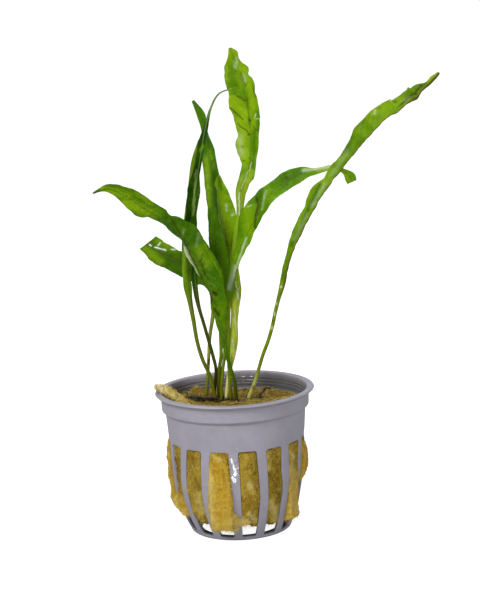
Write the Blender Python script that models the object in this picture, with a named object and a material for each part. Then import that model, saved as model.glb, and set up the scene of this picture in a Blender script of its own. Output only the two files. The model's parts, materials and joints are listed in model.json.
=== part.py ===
"""A narrow-leaved java fern growing from a plug of mineral wool in a small slotted net pot.

The numbers below are millimetres and degrees, and every mesh is made in metres, +Z up. The origin is
the middle of the whole plant's footprint, on the surface that the pot stands on, so the pot's own
axis stands AXIS_X away from it. Inside the functions x and y are counted from the pot's axis: +X is
the viewer's right and -Y is the side that faces the viewer. An angle round the pot starts at the
side that faces the viewer and grows to the right.
"""

import bmesh
import bpy
import numpy as np

MM = 0.001
GAP = 0.3
AXIS_X = -14.0

# Net pot
RIBS = 15
RIB_PHASE = -4.2
RIB_TOP_WIDTH = 3.35
RIB_BASE_WIDTH = 2.9
SLOT_BOTTOM_ROW = 3
SLOT_TOP_ROW = 8
CORNER = 0.9
# Each row is the outer face's radius and height, then the inner face's, from the floor to the rim.
POT_ROWS = [
    (13.8, 0.0, 13.8, 1.0),
    (16.9, 0.0, 16.4, 1.0),
    (17.4, 0.4, 16.8, 1.3),
    (17.7, 1.1, 16.9, 1.7),
    (19.1, 3.9, 18.2, 4.3),
    (21.1, 9.8, 20.2, 10.0),
    (22.5, 17.5, 21.6, 17.5),
    (23.2, 31.6, 22.3, 31.6),
    (23.4, 32.7, 22.5, 32.7),
    (24.2, 42.3, 23.3, 42.5),
    (25.4, 43.4, 24.5, 44.0),
    (25.6, 47.7, 24.7, 48.0),
    (26.2, 48.3, 25.0, 49.2),
    (27.1, 48.6, 25.4, 49.5),
    (27.5, 49.0, 27.2, 49.4),
]
# How many degrees the wool has bowed a rib aside half way up, by the rib's number.
RIB_BENDS = {-2: -4.8, -1: -2.7, 0: 0.8, 1: 1.6, 2: 0.8}
# Where the wall is pushed: the angle and the height, how wide in degrees and how tall, how far out.
WALL_DENTS = [
    (-77.0, 24.0, 14.0, 12.0, 0.5),
    (70.0, 13.0, 18.0, 6.0, -1.7),
]

# Mineral wool
WOOL_CLEARANCE = 0.4
WOOL_BOTTOM = 5.6
WOOL_TOP = 44.6
WOOL_COLUMNS = 39
WOOL_RINGS = (21.0, 17.0, 13.0, 9.0, 5.0, 1.5)
WOOL_LEVELS = (7.0, 12.0, 18.0, 28.0, 38.0)
# Lumps that stand on the plug: x, y, spread, height.
WOOL_LUMPS = [
    (-12.6, 14.6, 2.6, 2.8),
    (-17.6, 10.6, 2.4, 2.2),
    (-16.0, -3.0, 4.2, 2.0),
    (1.0, -15.0, 8.0, 1.8),
    (13.0, 6.0, 7.0, -0.9),
    (2.0, 20.0, 8.0, -0.8),
]
# Tongues pushed out through the slots, by the slot's number to the right of the front rib. A row is
# a height, the outer face's radius there, and how far it laps over the ribs on its left and right.
TONGUES = {
    -1: [
        (4.6, 22.8, 0.7, 0.4),
        (5.8, 23.8, 0.9, 0.6),
        (12.0, 24.2, 1.0, 0.6),
        (22.0, 24.2, 0.4, 0.2),
        (30.0, 24.0, 0.1, 0.0),
        (32.0, 23.9, 0.0, 0.0),
    ],
    -3: [
        (7.0, 21.4, 0.6, 0.3),
        (8.2, 22.5, 1.8, 0.4),
        (12.0, 23.3, 1.6, 0.2),
        (14.5, 22.9, 0.4, 0.0),
        (17.5, 22.9, 0.0, 0.0),
    ],
    -4: [
        (7.8, 22.2, 0.6, 0.8),
        (9.2, 23.2, 0.6, 2.6),
        (12.0, 24.0, 0.6, 2.2),
        (15.5, 23.8, 0.5, 0.6),
        (20.5, 24.3, 0.5, 0.3),
        (27.0, 24.6, 0.5, 0.2),
        (31.8, 24.1, 0.3, 0.1),
    ],
    2: [
        (4.2, 22.0, 0.3, 0.9),
        (5.4, 22.7, 0.4, 1.0),
        (12.0, 22.5, 0.1, 0.4),
        (20.0, 23.1, 0.0, 0.2),
        (24.0, 23.4, 0.0, 0.0),
    ],
    3: [
        (16.6, 22.4, 0.2, 0.2),
        (18.6, 23.0, 0.2, 0.3),
        (21.4, 23.9, 0.2, 0.3),
        (25.6, 24.4, 0.2, 0.3),
        (31.6, 23.6, 0.1, 0.2),
    ],
    6: [
        (8.0, 21.6, 0.6, 1.2),
        (10.0, 23.1, 0.8, 1.4),
        (18.0, 24.1, 0.8, 1.2),
        (26.0, 24.1, 0.4, 0.8),
        (31.8, 23.8, 0.2, 0.4),
    ],
    -7: [
        (5.6, 20.8, 0.6, 0.2),
        (7.4, 22.6, 1.2, 0.2),
        (14.0, 23.9, 1.0, 0.2),
        (22.0, 24.2, 0.6, 0.2),
        (31.8, 23.8, 0.2, 0.1),
    ],
}
# The lobe that spills over the rim: x, y, z, half width, half thickness.
LOBE = [
    (-11.5, -3.4, 44.6, 3.2, 1.2),
    (-15.5, -3.2, 45.8, 4.0, 1.7),
    (-19.5, -2.6, 47.8, 4.2, 1.8),
    (-22.8, -1.8, 50.3, 3.8, 1.4),
    (-25.4, -1.0, 51.3, 2.9, 1.2),
    (-27.2, -0.4, 51.4, 1.9, 0.9),
]

# Rhizome and roots: x, y, z, radius.
RHIZOME = [
    (-11.6, 9.8, 43.4, 0.9),
    (-8.8, 7.4, 43.2, 1.5),
    (-5.4, 4.6, 43.0, 1.6),
    (-2.0, 2.8, 43.0, 1.45),
    (1.8, 2.0, 43.1, 1.3),
    (5.6, 3.0, 43.3, 1.1),
]
STEM_FOOT = 45.1
ROOTS = {
    "root_right": [
        (8.3, 3.6, 45.1, 0.5),
        (9.1, 4.2, 45.9, 0.55),
        (10.1, 4.8, 47.1, 0.5),
        (11.5, 4.6, 47.7, 0.45),
        (12.7, 4.2, 47.4, 0.4),
    ],
    "root_left": [
        (-11.2, 4.4, 45.6, 0.45),
        (-13.0, 3.2, 46.1, 0.55),
        (-14.8, 3.0, 46.4, 0.5),
        (-16.8, 3.4, 46.9, 0.45),
    ],
    "root_front": [
        (-5.2, 0.4, 45.6, 0.35),
        (-7.0, -0.6, 46.5, 0.5),
        (-8.6, -0.8, 46.9, 0.5),
        (-10.2, 0.2, 46.6, 0.4),
    ],
    "root_middle": [
        (5.6, 5.4, 45.4, 0.35),
        (5.0, 6.0, 46.7, 0.35),
        (4.0, 6.6, 47.3, 0.3),
        (3.2, 7.4, 46.7, 0.3),
    ],
}
ROOT_COLOURS = {
    "root_right": (0.030, 0.018, 0.012),
    "root_left": (0.045, 0.030, 0.014),
    "root_front": (0.055, 0.032, 0.022),
    "root_middle": (0.110, 0.060, 0.025),
}

# Fronds, each grown in one piece from its stem's foot to its tip. A row is the midrib's x, y and z,
# then the left half's width and turn, then the right half's. A turn of 0 shows the half flat to the
# viewer, a positive one swings its edge away and a negative one swings it towards the viewer.
FRONDS = {
    "frond_tall": [
        (-2.9, 3.5, STEM_FOOT, 0.8, 0, 0.8, 0),
        (-1.5, 4.0, 54.5, 0.9, 0, 0.9, 0),
        (0.2, 4.5, 62.5, 1.3, 20, 1.3, 10),
        (0.9, 5.5, 71.0, 1.5, 30, 1.5, -20),
        (1.5, 5.8, 79.5, 2.0, 0, 2.0, -30),
        (1.9, 5.6, 87.5, 2.2, -20, 2.8, 20),
        (2.4, 5.6, 95.5, 1.6, 0, 1.7, 0),
        (3.8, 5.4, 103.0, 1.3, 0, 1.3, 0),
        (5.2, 5.9, 111.0, 1.5, 0, 1.6, 0),
        (6.9, 6.6, 119.0, 2.4, 10, 2.4, 0),
        (8.8, 7.1, 126.5, 3.8, 15, 2.9, -20),
        (10.1, 7.1, 134.5, 5.1, 15, 3.3, -40),
        (9.7, 6.7, 142.5, 5.4, 15, 4.0, -30),
        (8.7, 6.2, 150.5, 5.7, 15, 3.8, -25),
        (6.9, 5.6, 158.5, 4.7, 15, 2.9, -20),
        (4.3, 5.0, 165.8, 0.4, 0, 0.4, 0),
    ],
    "frond_right": [
        (-1.3, 2.4, STEM_FOOT, 0.7, 0, 0.7, 0),
        (-1.5, 1.8, 56.0, 0.6, 0, 0.6, 0),
        (-1.3, 1.2, 66.0, 0.6, 0, 0.6, 0),
        (-0.8, 0.4, 75.0, 0.8, 20, 0.8, -20),
        (0.3, -0.6, 82.5, 1.4, 50, 1.2, -50),
        (1.8, -1.6, 89.0, 2.4, 55, 2.0, -60),
        (4.3, -2.6, 97.0, 3.2, 40, 2.8, -65),
        (7.4, -3.8, 103.6, 4.8, 20, 3.2, -65),
        (11.0, -5.0, 110.0, 5.3, 10, 3.4, -60),
        (14.8, -6.0, 115.5, 4.3, 15, 3.3, -50),
        (19.3, -6.9, 120.0, 3.3, 20, 3.0, -30),
        (25.0, -7.5, 122.6, 2.4, 30, 2.5, -30),
        (31.0, -7.8, 124.0, 1.3, 40, 1.6, -35),
        (36.2, -7.6, 124.9, 0.9, 30, 0.9, -30),
        (40.0, -7.2, 123.6, 0.8, 20, 0.8, -20),
        (42.2, -6.9, 121.4, 1.9, 0, 1.9, 0),
        (43.0, -6.7, 119.6, 1.6, 0, 1.8, 0),
    ],
    "frond_far_right": [
        (4.9, 3.4, STEM_FOOT, 0.7, 0, 0.7, 0),
        (8.2, 1.5, 54.0, 0.65, 0, 0.65, 0),
        (11.4, -0.5, 63.0, 0.6, 0, 0.6, 0),
        (14.3, -2.5, 71.6, 0.6, 0, 0.6, 0),
        (16.4, -4.5, 80.6, 0.75, 10, 0.75, 30),
        (19.2, -7.2, 89.3, 1.5, 15, 1.2, 80),
        (22.0, -9.8, 98.0, 2.4, 10, 2.2, 115),
        (26.0, -12.2, 106.1, 3.2, 10, 3.0, 125),
        (30.5, -14.4, 113.7, 4.3, 10, 3.6, 125),
        (35.6, -16.4, 120.8, 3.7, 10, 3.5, 125),
        (41.1, -18.2, 127.5, 4.2, 10, 3.8, 125),
        (46.9, -19.8, 133.8, 5.2, 10, 4.0, 120),
        (53.1, -21.2, 139.9, 5.6, 10, 3.8, 115),
        (59.8, -22.2, 144.8, 4.4, 10, 3.2, 100),
        (65.8, -23.0, 149.8, 3.0, 10, 2.2, 80),
        (71.2, -23.6, 155.3, 0.4, 0, 0.4, 40),
    ],
    "frond_front_left": [
        (0.5, 1.4, STEM_FOOT, 0.65, 0, 0.65, 0),
        (0.0, -0.2, 52.3, 0.6, 0, 0.6, 0),
        (-1.4, -2.0, 59.0, 0.6, 0, 0.6, 0),
        (-2.5, -3.6, 65.7, 0.9, 20, 0.8, 0),
        (-3.6, -5.2, 72.3, 1.8, 45, 1.8, 0),
        (-4.8, -6.8, 78.9, 2.4, 60, 3.8, 5),
        (-6.0, -8.4, 85.4, 2.8, 70, 4.7, 5),
        (-8.0, -10.2, 91.6, 3.0, 75, 5.4, 5),
        (-10.7, -12.0, 97.6, 3.0, 80, 5.8, 0),
        (-13.9, -13.8, 103.1, 2.8, 75, 6.0, 0),
        (-17.9, -15.6, 108.0, 2.8, 55, 4.8, 5),
        (-22.4, -17.2, 112.4, 3.0, 40, 3.6, 0),
        (-27.3, -18.6, 116.4, 4.0, 10, 3.4, -10),
        (-32.1, -19.8, 120.0, 3.0, 0, 3.2, -20),
        (-36.9, -20.8, 122.6, 1.8, 0, 2.6, -25),
        (-40.6, -21.4, 122.9, 1.2, 10, 1.6, -20),
        (-43.3, -21.8, 121.2, 0.3, 0, 0.3, 0),
    ],
    "frond_left_narrow": [
        (-6.9, 3.6, STEM_FOOT, 0.65, 0, 0.65, 0),
        (-8.2, 2.4, 53.0, 0.65, 0, 0.65, 0),
        (-10.2, 1.4, 59.5, 0.6, 0, 0.6, 0),
        (-12.2, 0.8, 69.0, 0.6, 0, 0.6, 0),
        (-13.2, 1.2, 76.5, 0.8, 20, 0.7, 20),
        (-13.9, 2.2, 83.0, 1.9, 40, 1.5, 45),
        (-14.3, 3.2, 89.5, 2.9, 45, 2.2, 50),
        (-14.4, 4.2, 97.0, 2.7, 50, 2.2, 50),
        (-13.1, 5.4, 105.5, 2.4, 55, 2.0, 50),
        (-11.3, 6.6, 115.0, 2.0, 60, 1.8, 45),
        (-9.4, 7.6, 124.0, 1.4, 60, 1.3, 40),
        (-7.4, 8.4, 132.0, 0.3, 0, 0.3, 0),
    ],
    "frond_dark": [
        (-7.3, 6.1, STEM_FOOT, 0.65, 0, 0.65, 0),
        (-6.0, 4.2, 53.0, 0.6, 0, 0.6, 0),
        (-6.6, 2.4, 62.0, 0.55, 0, 0.55, 0),
        (-9.2, 1.2, 72.0, 0.6, 0, 0.6, 0),
        (-10.8, 0.2, 79.5, 0.9, -20, 0.7, -20),
        (-11.4, -0.6, 87.0, 1.8, -50, 1.6, -50),
        (-11.7, -1.0, 94.5, 2.4, -55, 2.6, -50),
        (-12.0, -1.1, 102.0, 3.0, -55, 3.4, -50),
        (-11.8, -0.9, 109.5, 3.6, -50, 3.4, -45),
        (-10.5, -0.5, 116.5, 3.4, -50, 3.0, -45),
        (-8.9, 0.0, 123.5, 2.6, -45, 2.2, -45),
        (-7.4, 0.6, 130.0, 2.2, -45, 1.8, -45),
        (-6.0, 1.2, 136.5, 1.5, -40, 1.4, -40),
        (-4.6, 1.6, 141.5, 0.6, 0, 0.6, 0),
        (-3.4, 1.8, 146.0, 0.4, 0, 0.4, 0),
        (-0.8, 1.9, 150.2, 0.35, 0, 0.35, 0),
        (4.6, 1.7, 152.3, 0.2, 0, 0.2, 0),
    ],
    "frond_cut": [
        (-9.9, 8.2, STEM_FOOT, 0.65, 0, 0.65, 0),
        (-9.2, 9.8, 52.0, 0.6, 0, 0.6, 0),
        (-8.0, 11.2, 60.0, 0.6, 0, 0.6, 0),
        (-6.9, 12.4, 68.0, 0.6, 0, 0.6, 0),
        (-5.8, 13.6, 76.0, 0.8, 0, 0.9, 0),
        (-5.6, 14.8, 81.5, 1.6, 0, 1.2, 0),
        (-6.9, 15.6, 85.8, 2.8, 5, 1.8, 0),
        (-9.6, 16.3, 88.6, 4.2, 10, 2.8, 0),
        (-12.9, 17.0, 89.9, 5.1, 15, 3.9, 0),
        (-16.9, 18.0, 91.3, 4.6, 20, 4.2, -10),
        (-20.7, 19.2, 93.3, 4.2, 20, 4.1, -15),
        (-24.8, 20.4, 95.4, 4.4, 15, 3.5, -15),
        (-27.3, 21.3, 98.6, 4.1, 10, 3.0, -15),
    ],
    "frond_back": [
        (-5.5, 5.7, STEM_FOOT, 0.65, 0, 0.65, 0),
        (-4.8, 6.2, 54.0, 0.6, 0, 0.6, 0),
        (-4.0, 6.8, 62.0, 0.6, 0, 0.6, 0),
        (-3.6, 7.6, 70.5, 0.8, 10, 0.8, 10),
        (-3.3, 8.6, 79.0, 1.6, 15, 1.4, 15),
        (-3.3, 10.2, 88.0, 2.5, 20, 1.9, 20),
        (-3.4, 12.4, 97.0, 3.0, 20, 2.4, 20),
        (-3.5, 14.8, 106.0, 3.2, 25, 2.8, 20),
        (-3.6, 17.2, 114.5, 3.3, 25, 3.0, 25),
        (-3.9, 19.6, 122.5, 3.2, 25, 3.1, 30),
        (-4.5, 21.6, 129.5, 3.0, 25, 2.4, 35),
        (-5.5, 23.2, 136.5, 2.0, 20, 1.9, 30),
        (-6.9, 24.4, 142.6, 1.6, 10, 1.7, 20),
        (-9.2, 25.4, 147.6, 0.5, 0, 0.5, 0),
    ],
    "frond_middle": [
        (-3.8, 5.5, STEM_FOOT, 0.65, 0, 0.65, 0),
        (-3.3, 7.4, 53.0, 0.6, 0, 0.6, 0),
        (-2.6, 9.2, 61.5, 0.6, 0, 0.6, 0),
        (-1.6, 10.4, 70.5, 0.65, 0, 0.65, 0),
        (-0.3, 11.0, 79.5, 1.0, 0, 1.0, 0),
        (1.0, 10.8, 88.0, 1.5, 30, 1.4, -20),
        (1.2, 9.8, 94.5, 2.0, 60, 1.8, -30),
        (0.4, 8.6, 100.5, 2.6, 70, 2.6, -25),
        (-0.6, 7.8, 106.0, 3.2, 75, 4.5, -10),
        (-1.4, 7.4, 111.0, 3.4, 75, 4.9, -5),
        (-1.9, 6.8, 116.0, 2.8, 75, 3.9, -5),
        (-1.7, 5.8, 120.5, 1.6, 70, 2.3, -10),
        (-1.2, 5.7, 124.3, 0.3, 0, 0.3, 0),
    ],
    "frond_short": [
        (-4.7, 3.2, STEM_FOOT, 0.55, 0, 0.55, 0),
        (-3.6, 3.0, 55.0, 0.5, 0, 0.5, 0),
        (-2.9, 3.0, 64.0, 0.5, 0, 0.5, 0),
        (-2.3, 3.2, 73.0, 0.6, 0, 0.6, 0),
        (-2.1, 3.2, 80.0, 1.0, -10, 1.1, -10),
        (-2.4, 3.0, 87.0, 2.4, -20, 2.7, -20),
        (-2.9, 2.8, 94.0, 3.2, -25, 3.3, -25),
        (-3.1, 2.6, 101.0, 3.1, -25, 2.7, -30),
        (-3.2, 2.4, 107.0, 2.3, -20, 1.5, -25),
        (-3.4, 2.3, 112.2, 0.3, 0, 0.3, 0),
    ],
}
FROND_COLOURS = {
    "frond_tall": (0.130, 0.260, 0.015),
    "frond_right": (0.120, 0.250, 0.012),
    "frond_far_right": (0.120, 0.240, 0.020),
    "frond_front_left": (0.045, 0.130, 0.010),
    "frond_left_narrow": (0.090, 0.150, 0.015),
    "frond_dark": (0.020, 0.060, 0.008),
    "frond_cut": (0.100, 0.230, 0.012),
    "frond_back": (0.090, 0.210, 0.012),
    "frond_middle": (0.120, 0.280, 0.015),
    "frond_short": (0.050, 0.140, 0.010),
}
RINGS_PER_ROW = 1.4
MIDRIB_THICK = 0.45
BLADE_THICK = 0.22


def clear_scene():
    """Removes whatever the file holds before the model is made."""
    for item in list(bpy.data.objects):
        bpy.data.objects.remove(item, do_unlink=True)


def finish_of(name, colour, roughness, coat=0.0):
    """A plain Principled material."""
    material = bpy.data.materials.new(name)
    material.use_nodes = True
    shader = material.node_tree.nodes["Principled BSDF"]
    shader.inputs["Base Color"].default_value = (*colour, 1.0)
    shader.inputs["Roughness"].default_value = roughness
    shader.inputs["Coat Weight"].default_value = coat
    return material


def add_object(name, points, faces, material, parent, smooth=40.0):
    """One object from points in millimetres round the pot's axis."""
    mesh = bpy.data.meshes.new(name)
    mesh.from_pydata((np.asarray(points) * MM).tolist(), [], faces)
    mesh.materials.append(material)
    outward = bmesh.new()
    outward.from_mesh(mesh)
    unused = [vertex for vertex in outward.verts if not vertex.link_faces]
    bmesh.ops.delete(outward, geom=unused, context="VERTS")
    bmesh.ops.recalc_face_normals(outward, faces=outward.faces)
    outward.to_mesh(mesh)
    outward.free()
    mesh.shade_smooth()
    mesh.set_sharp_from_angle(angle=np.radians(smooth))
    item = bpy.data.objects.new(name, mesh)
    item.parent = parent
    bpy.context.scene.collection.objects.link(item)
    return item


def smooth_rows(rows, count):
    """Even steps along a Catmull-Rom curve through the rows, whatever columns they hold."""
    rows = np.asarray(rows, float)
    ends = np.vstack([2 * rows[0] - rows[1], rows, 2 * rows[-1] - rows[-2]])
    at = np.linspace(0, len(rows) - 1, 40 * len(rows))
    step = np.minimum(at.astype(int), len(rows) - 2)
    t = (at - step)[:, None]
    a, b, c, d = (ends[step + k] for k in range(4))
    bend, twist = 2 * a - 5 * b + 4 * c - d, 3 * b - a - 3 * c + d
    curve = 0.5 * (2 * b + (c - a) * t + bend * t**2 + twist * t**3)
    along = np.r_[0, np.cumsum(np.linalg.norm(np.diff(curve[:, :3], axis=0), axis=1))]
    even = np.linspace(0, along[-1], count)
    return np.stack([np.interp(even, along, column) for column in curve.T], axis=1)


def frame_along(path):
    """The direction of a path at each point, with one across it in the picture's plane and one away."""
    forward = np.gradient(path, axis=0)
    forward /= np.linalg.norm(forward, axis=1)[:, None]
    across = np.cross([0.0, 1.0, 0.0], forward)
    across /= np.linalg.norm(across, axis=1)[:, None]
    return forward, across, np.cross(forward, across)


def tube_faces(rings, sides):
    """Triangles that join rings of points into a tube, with a flat face at each end.

    The second half of a ring faces the first across the tube, and its quads are split along the
    matching diagonal, so the two skins of a thin twisted blade stay one thickness apart.
    """
    faces = []
    for ring in range(rings - 1):
        for side in range(sides):
            here = ring * sides
            a, b = here + side, here + (side + 1) % sides
            c, d = b + sides, a + sides
            faces += [[a, b, c], [a, c, d]] if side < sides // 2 else [[a, b, d], [b, c, d]]
    faces.append(list(range(sides))[::-1])
    faces.append([(rings - 1) * sides + side for side in range(sides)])
    return faces


def pot_radius(height, face):
    """The pot's radius at a height, on its outer face (0) or its inner face (2)."""
    rows = np.array(POT_ROWS[1:12])
    return np.interp(height, rows[:, face + 1], rows[:, face])


def rib_half_width(height):
    """Half of a rib's width, which narrows down to the base."""
    top = POT_ROWS[SLOT_TOP_ROW][1]
    return 0.5 * np.interp(height, (0.0, top), (RIB_BASE_WIDTH, RIB_TOP_WIDTH))


def rib_angle(rib, height):
    """The angle of a rib's middle, bowed by a half wave between the slots' ends, as the facets run."""
    levels = np.array(POT_ROWS)[:12, 1]
    top, bottom = POT_ROWS[SLOT_TOP_ROW][1], POT_ROWS[SLOT_BOTTOM_ROW][1]
    bow = np.sin(np.pi * np.clip((top - levels) / (top - bottom), 0.0, 1.0))
    bend = RIB_BENDS.get((rib + RIBS // 2) % RIBS - RIBS // 2, 0.0)
    return np.radians(RIB_PHASE + rib * 360.0 / RIBS + bend * np.interp(height, levels, bow))


def dent(angle, height):
    """How far the wall is pushed out at an angle and a height, as the facets run."""
    levels = np.array(POT_ROWS)[:12, 1]
    pushed = np.zeros(np.shape(angle))
    for turn, level, wide, tall, out in WALL_DENTS:
        off = (np.degrees(angle) - turn + 180.0) % 360.0 - 180.0
        rise = np.interp(height, levels, np.exp(-(((levels - level) / tall) ** 2)))
        pushed = pushed + out * rise * np.exp(-((off / wide) ** 2))
    return pushed


def around(radius, angle, height):
    """A point from its radius, its angle in radians and its height."""
    return np.stack(np.broadcast_arrays(radius * np.sin(angle), -radius * np.cos(angle), height), axis=-1)


def pot_columns(row):
    """The angles of one row's points: each rib's two edges and middle, and the middle of the slot."""
    radius, height = POT_ROWS[row][:2]
    half = rib_half_width(height)
    if row in (SLOT_BOTTOM_ROW, SLOT_TOP_ROW):
        half += CORNER * (1.0 if row == SLOT_TOP_ROW else 0.5)
    middles = np.array([rib_angle(rib, height) for rib in range(RIBS)])
    following = np.append(middles[1:], middles[0] + 2 * np.pi)
    edge = half / radius
    return np.stack([middles - edge, middles, middles + edge, (middles + following) / 2], axis=1).ravel()


def net_pot(parent):
    """The pot as a grid of cells round a profile, each with an outer and an inner face.

    The cells between two ribs are left out from the slots' bottom row to their top row, and walls
    close the pot's thickness round each opening and along both ends of the profile.
    """
    rows, columns = len(POT_ROWS), 4 * RIBS
    points = np.empty((2, rows, columns, 3))
    for row, (outer_r, outer_z, inner_r, inner_z) in enumerate(POT_ROWS):
        angles = pot_columns(row)
        pushed = dent(angles, outer_z)
        points[0, row] = around(outer_r + pushed, angles, outer_z)
        points[1, row] = around(inner_r + pushed, angles, inner_z)

    def vertex(face, row, column):
        return (face * rows + row) * columns + column % columns

    def solid(row, column):
        in_slot_rows = SLOT_BOTTOM_ROW <= row < SLOT_TOP_ROW
        return 0 <= row < rows - 1 and not (in_slot_rows and column % 4 >= 2)

    faces = []
    for row in range(rows - 1):
        for column in range(columns):
            if not solid(row, column):
                continue
            for face in (0, 1):
                corners = [(row, column), (row, column + 1), (row + 1, column + 1), (row + 1, column)]
                faces.append([vertex(face, *corner) for corner in corners])
            edges = [
                (solid(row - 1, column), (row, column), (row, column + 1)),
                (solid(row + 1, column), (row + 1, column), (row + 1, column + 1)),
                (solid(row, column - 1), (row, column), (row + 1, column)),
                (solid(row, column + 1), (row, column + 1), (row + 1, column + 1)),
            ]
            for joined, start, end in edges:
                if not joined:
                    faces.append([vertex(0, *start), vertex(0, *end),
                                  vertex(1, *end), vertex(1, *start)])
    material = finish_of("grey_plastic", (0.33, 0.33, 0.37), 0.42)
    return add_object("net_pot", points.reshape(-1, 3), faces, material, parent)


def wool_height(x, y):
    """The height of the plug's top: a plain level, lumps and hollows, and a dip along the rhizome."""
    height = np.full(np.shape(x), WOOL_TOP)
    for lump_x, lump_y, spread, rise in WOOL_LUMPS:
        height = height + rise * np.exp(-((x - lump_x) ** 2 + (y - lump_y) ** 2) / (0.72 * spread**2))
    line = smooth_rows(RHIZOME, 30)
    near = np.min(np.hypot(np.subtract.outer(x, line[:, 0]), np.subtract.outer(y, line[:, 1])), axis=-1)
    dip = np.clip(1.6 - 0.4 * near, 0.0, 1.0)
    return height * (1 - dip) + (RHIZOME[2][2] + 0.3) * dip


def wool_radius(height, angles):
    """The plug's own radius, a little inside the pot's wall and its dents."""
    return pot_radius(height, 2) + np.minimum(dent(angles, height), 0.0) - WOOL_CLEARANCE


def wool_core(material, parent):
    """The plug inside the pot: rings up its side, then rings in over its top, and one flat bottom."""
    angles = 2 * np.pi * np.arange(WOOL_COLUMNS) / WOOL_COLUMNS
    ripple = 0.35 * np.sin(3 * angles) + 0.25 * np.sin(7 * angles + 1.0)
    rings = [around(12.0, angles, WOOL_BOTTOM)]
    rings.append(around(wool_radius(WOOL_BOTTOM - 0.6, angles) - 0.5, angles, WOOL_BOTTOM + ripple))
    rings += [around(wool_radius(level, angles), angles, level) for level in WOOL_LEVELS]
    rings.append(around(wool_radius(WOOL_TOP - 2.2, angles), angles, WOOL_TOP - 1.7))
    for radius in WOOL_RINGS:
        ring = around(radius, angles, 0.0)
        ring[:, 2] = wool_height(ring[:, 0], ring[:, 1])
        rings.append(ring)
    faces = tube_faces(len(rings), WOOL_COLUMNS)
    return add_object("wool_plug", np.concatenate(rings), faces, material, parent)


def tongue(slot, levels):
    """One tongue of wool: a neck through a slot and a pad outside it that laps over the ribs.

    Each level is one closed outline seen from above, so the tongue is a stack of outlines.
    """
    rows = smooth_rows([(z, 0.0, 0.0, radius, *laps) for z, radius, *laps in levels], len(levels) + 1)
    rings = []
    for height, _, _, pad_radius, lap_left, lap_right in rows:
        wall = pot_radius(height, 0)
        behind = pot_radius(height, 2) - 2.2
        start, end = rib_angle(slot, height), rib_angle(slot + 1, height)
        neck = (end - start) / 2 - rib_half_width(height) / wall - WOOL_CLEARANCE / behind
        if height > POT_ROWS[SLOT_TOP_ROW][1] - 2.0:
            neck -= 0.5 * CORNER / wall
        left = neck + (0.3 + max(lap_left, 0.0)) / wall
        right = neck + (0.3 + max(lap_right, 0.0)) / wall
        sides = [-neck, -neck, -left, -left, -0.6 * left, 0.6 * right, right, right, neck, neck]
        angles = (start + end) / 2 + np.array(sides)
        pushed = dent(angles, height)
        face = wall + WOOL_CLEARANCE + pushed
        pad = np.maximum(pad_radius, face + 0.35)
        radius = face + (pad - face) * [0.0, 0.0, 0.0, 0.55, 1.0, 1.0, 0.55, 0.0, 0.0, 0.0]
        radius[[0, -1]] = behind + pushed[[0, -1]]
        rings.append(around(radius, angles, height))
    return np.concatenate(rings), tube_faces(len(rings), len(rings[0]))


def flat_tube(rows, count, sides):
    """A tube of oval section along rows of x, y, z, half width and half thickness."""
    path = smooth_rows(rows, count)
    _, across, away = frame_along(path[:, :3])
    turn = 2 * np.pi * np.arange(sides) / sides
    wide = away[:, None] * np.cos(turn)[None, :, None] * path[:, 3, None, None]
    thick = across[:, None] * np.sin(turn)[None, :, None] * path[:, -1, None, None]
    return (path[:, None, :3] + wide + thick).reshape(-1, 3), tube_faces(count, sides)


def boolean(item, operation, points, faces, parent):
    """Joins a hidden solid to an object, or cuts it out, through an exact Boolean."""
    other = add_object(item.name + "_tool", points, faces, item.data.materials[0], parent)
    other.hide_render = True
    other.display_type = "WIRE"
    modifier = item.modifiers.new(operation.lower(), "BOOLEAN")
    modifier.operation = operation
    modifier.solver = "EXACT"
    modifier.object = other


def rockwool(parent):
    """The plug with its tongues and its spilling lobe joined on, and the rhizome's trench cut out."""
    material = finish_of("mineral_wool", (0.42, 0.30, 0.07), 0.9)
    plug = wool_core(material, parent)
    for slot, levels in TONGUES.items():
        boolean(plug, "UNION", *tongue(slot, levels), parent)
    boolean(plug, "UNION", *flat_tube(LOBE, 9, 10), parent)
    trench = np.array(RHIZOME)
    trench[:, 3] += GAP + 0.05
    trench[0, :3] += (trench[0, :3] - trench[1, :3]) * 0.2
    trench[-1, :3] += (trench[-1, :3] - trench[-2, :3]) * 0.2
    boolean(plug, "DIFFERENCE", *flat_tube(trench, 12, 8), parent)
    return plug


def frond_ring(path, stem_radius):
    """Eight points round each step: the two edges, and a point above and below the midrib and halves."""
    forward, across, away = frame_along(path[:, :3])
    left_turn, right_turn = np.radians(path[:, 4, None]), np.radians(path[:, 6, None])
    left = -np.cos(left_turn) * across + np.sin(left_turn) * away
    right = np.cos(right_turn) * across + np.sin(right_turn) * away
    left_up, right_up = np.cross(left, forward), np.cross(forward, right)
    middle_up = left_up + right_up
    middle_up /= np.linalg.norm(middle_up, axis=1)[:, None]
    share = np.linspace(0, 1, len(path))[:, None]
    core = stem_radius * (1 - share) + 0.5 * MIDRIB_THICK * share
    core = np.minimum(core, np.maximum(path[:, 3, None], 0.2))
    middle = path[:, :3]

    def half(direction, up, width):
        round_share = np.clip(1.3 * stem_radius / width - 0.3, 0.0, 1.0)
        thick = 0.87 * core * round_share + 0.5 * BLADE_THICK * (1 - round_share)
        point = middle + 0.52 * width * direction - 0.05 * width * up * (1 - round_share)
        return point + thick * up, point - thick * up

    left_width, right_width = path[:, 3, None], path[:, 5, None]
    left_top, left_under = half(left, left_up, left_width)
    right_top, right_under = half(right, right_up, right_width)
    top = [middle + left_width * left, left_top, middle + core * middle_up, right_top]
    under = [middle + right_width * right, right_under, middle - core * middle_up, left_under]
    return np.stack(top + under, axis=1)


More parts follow.
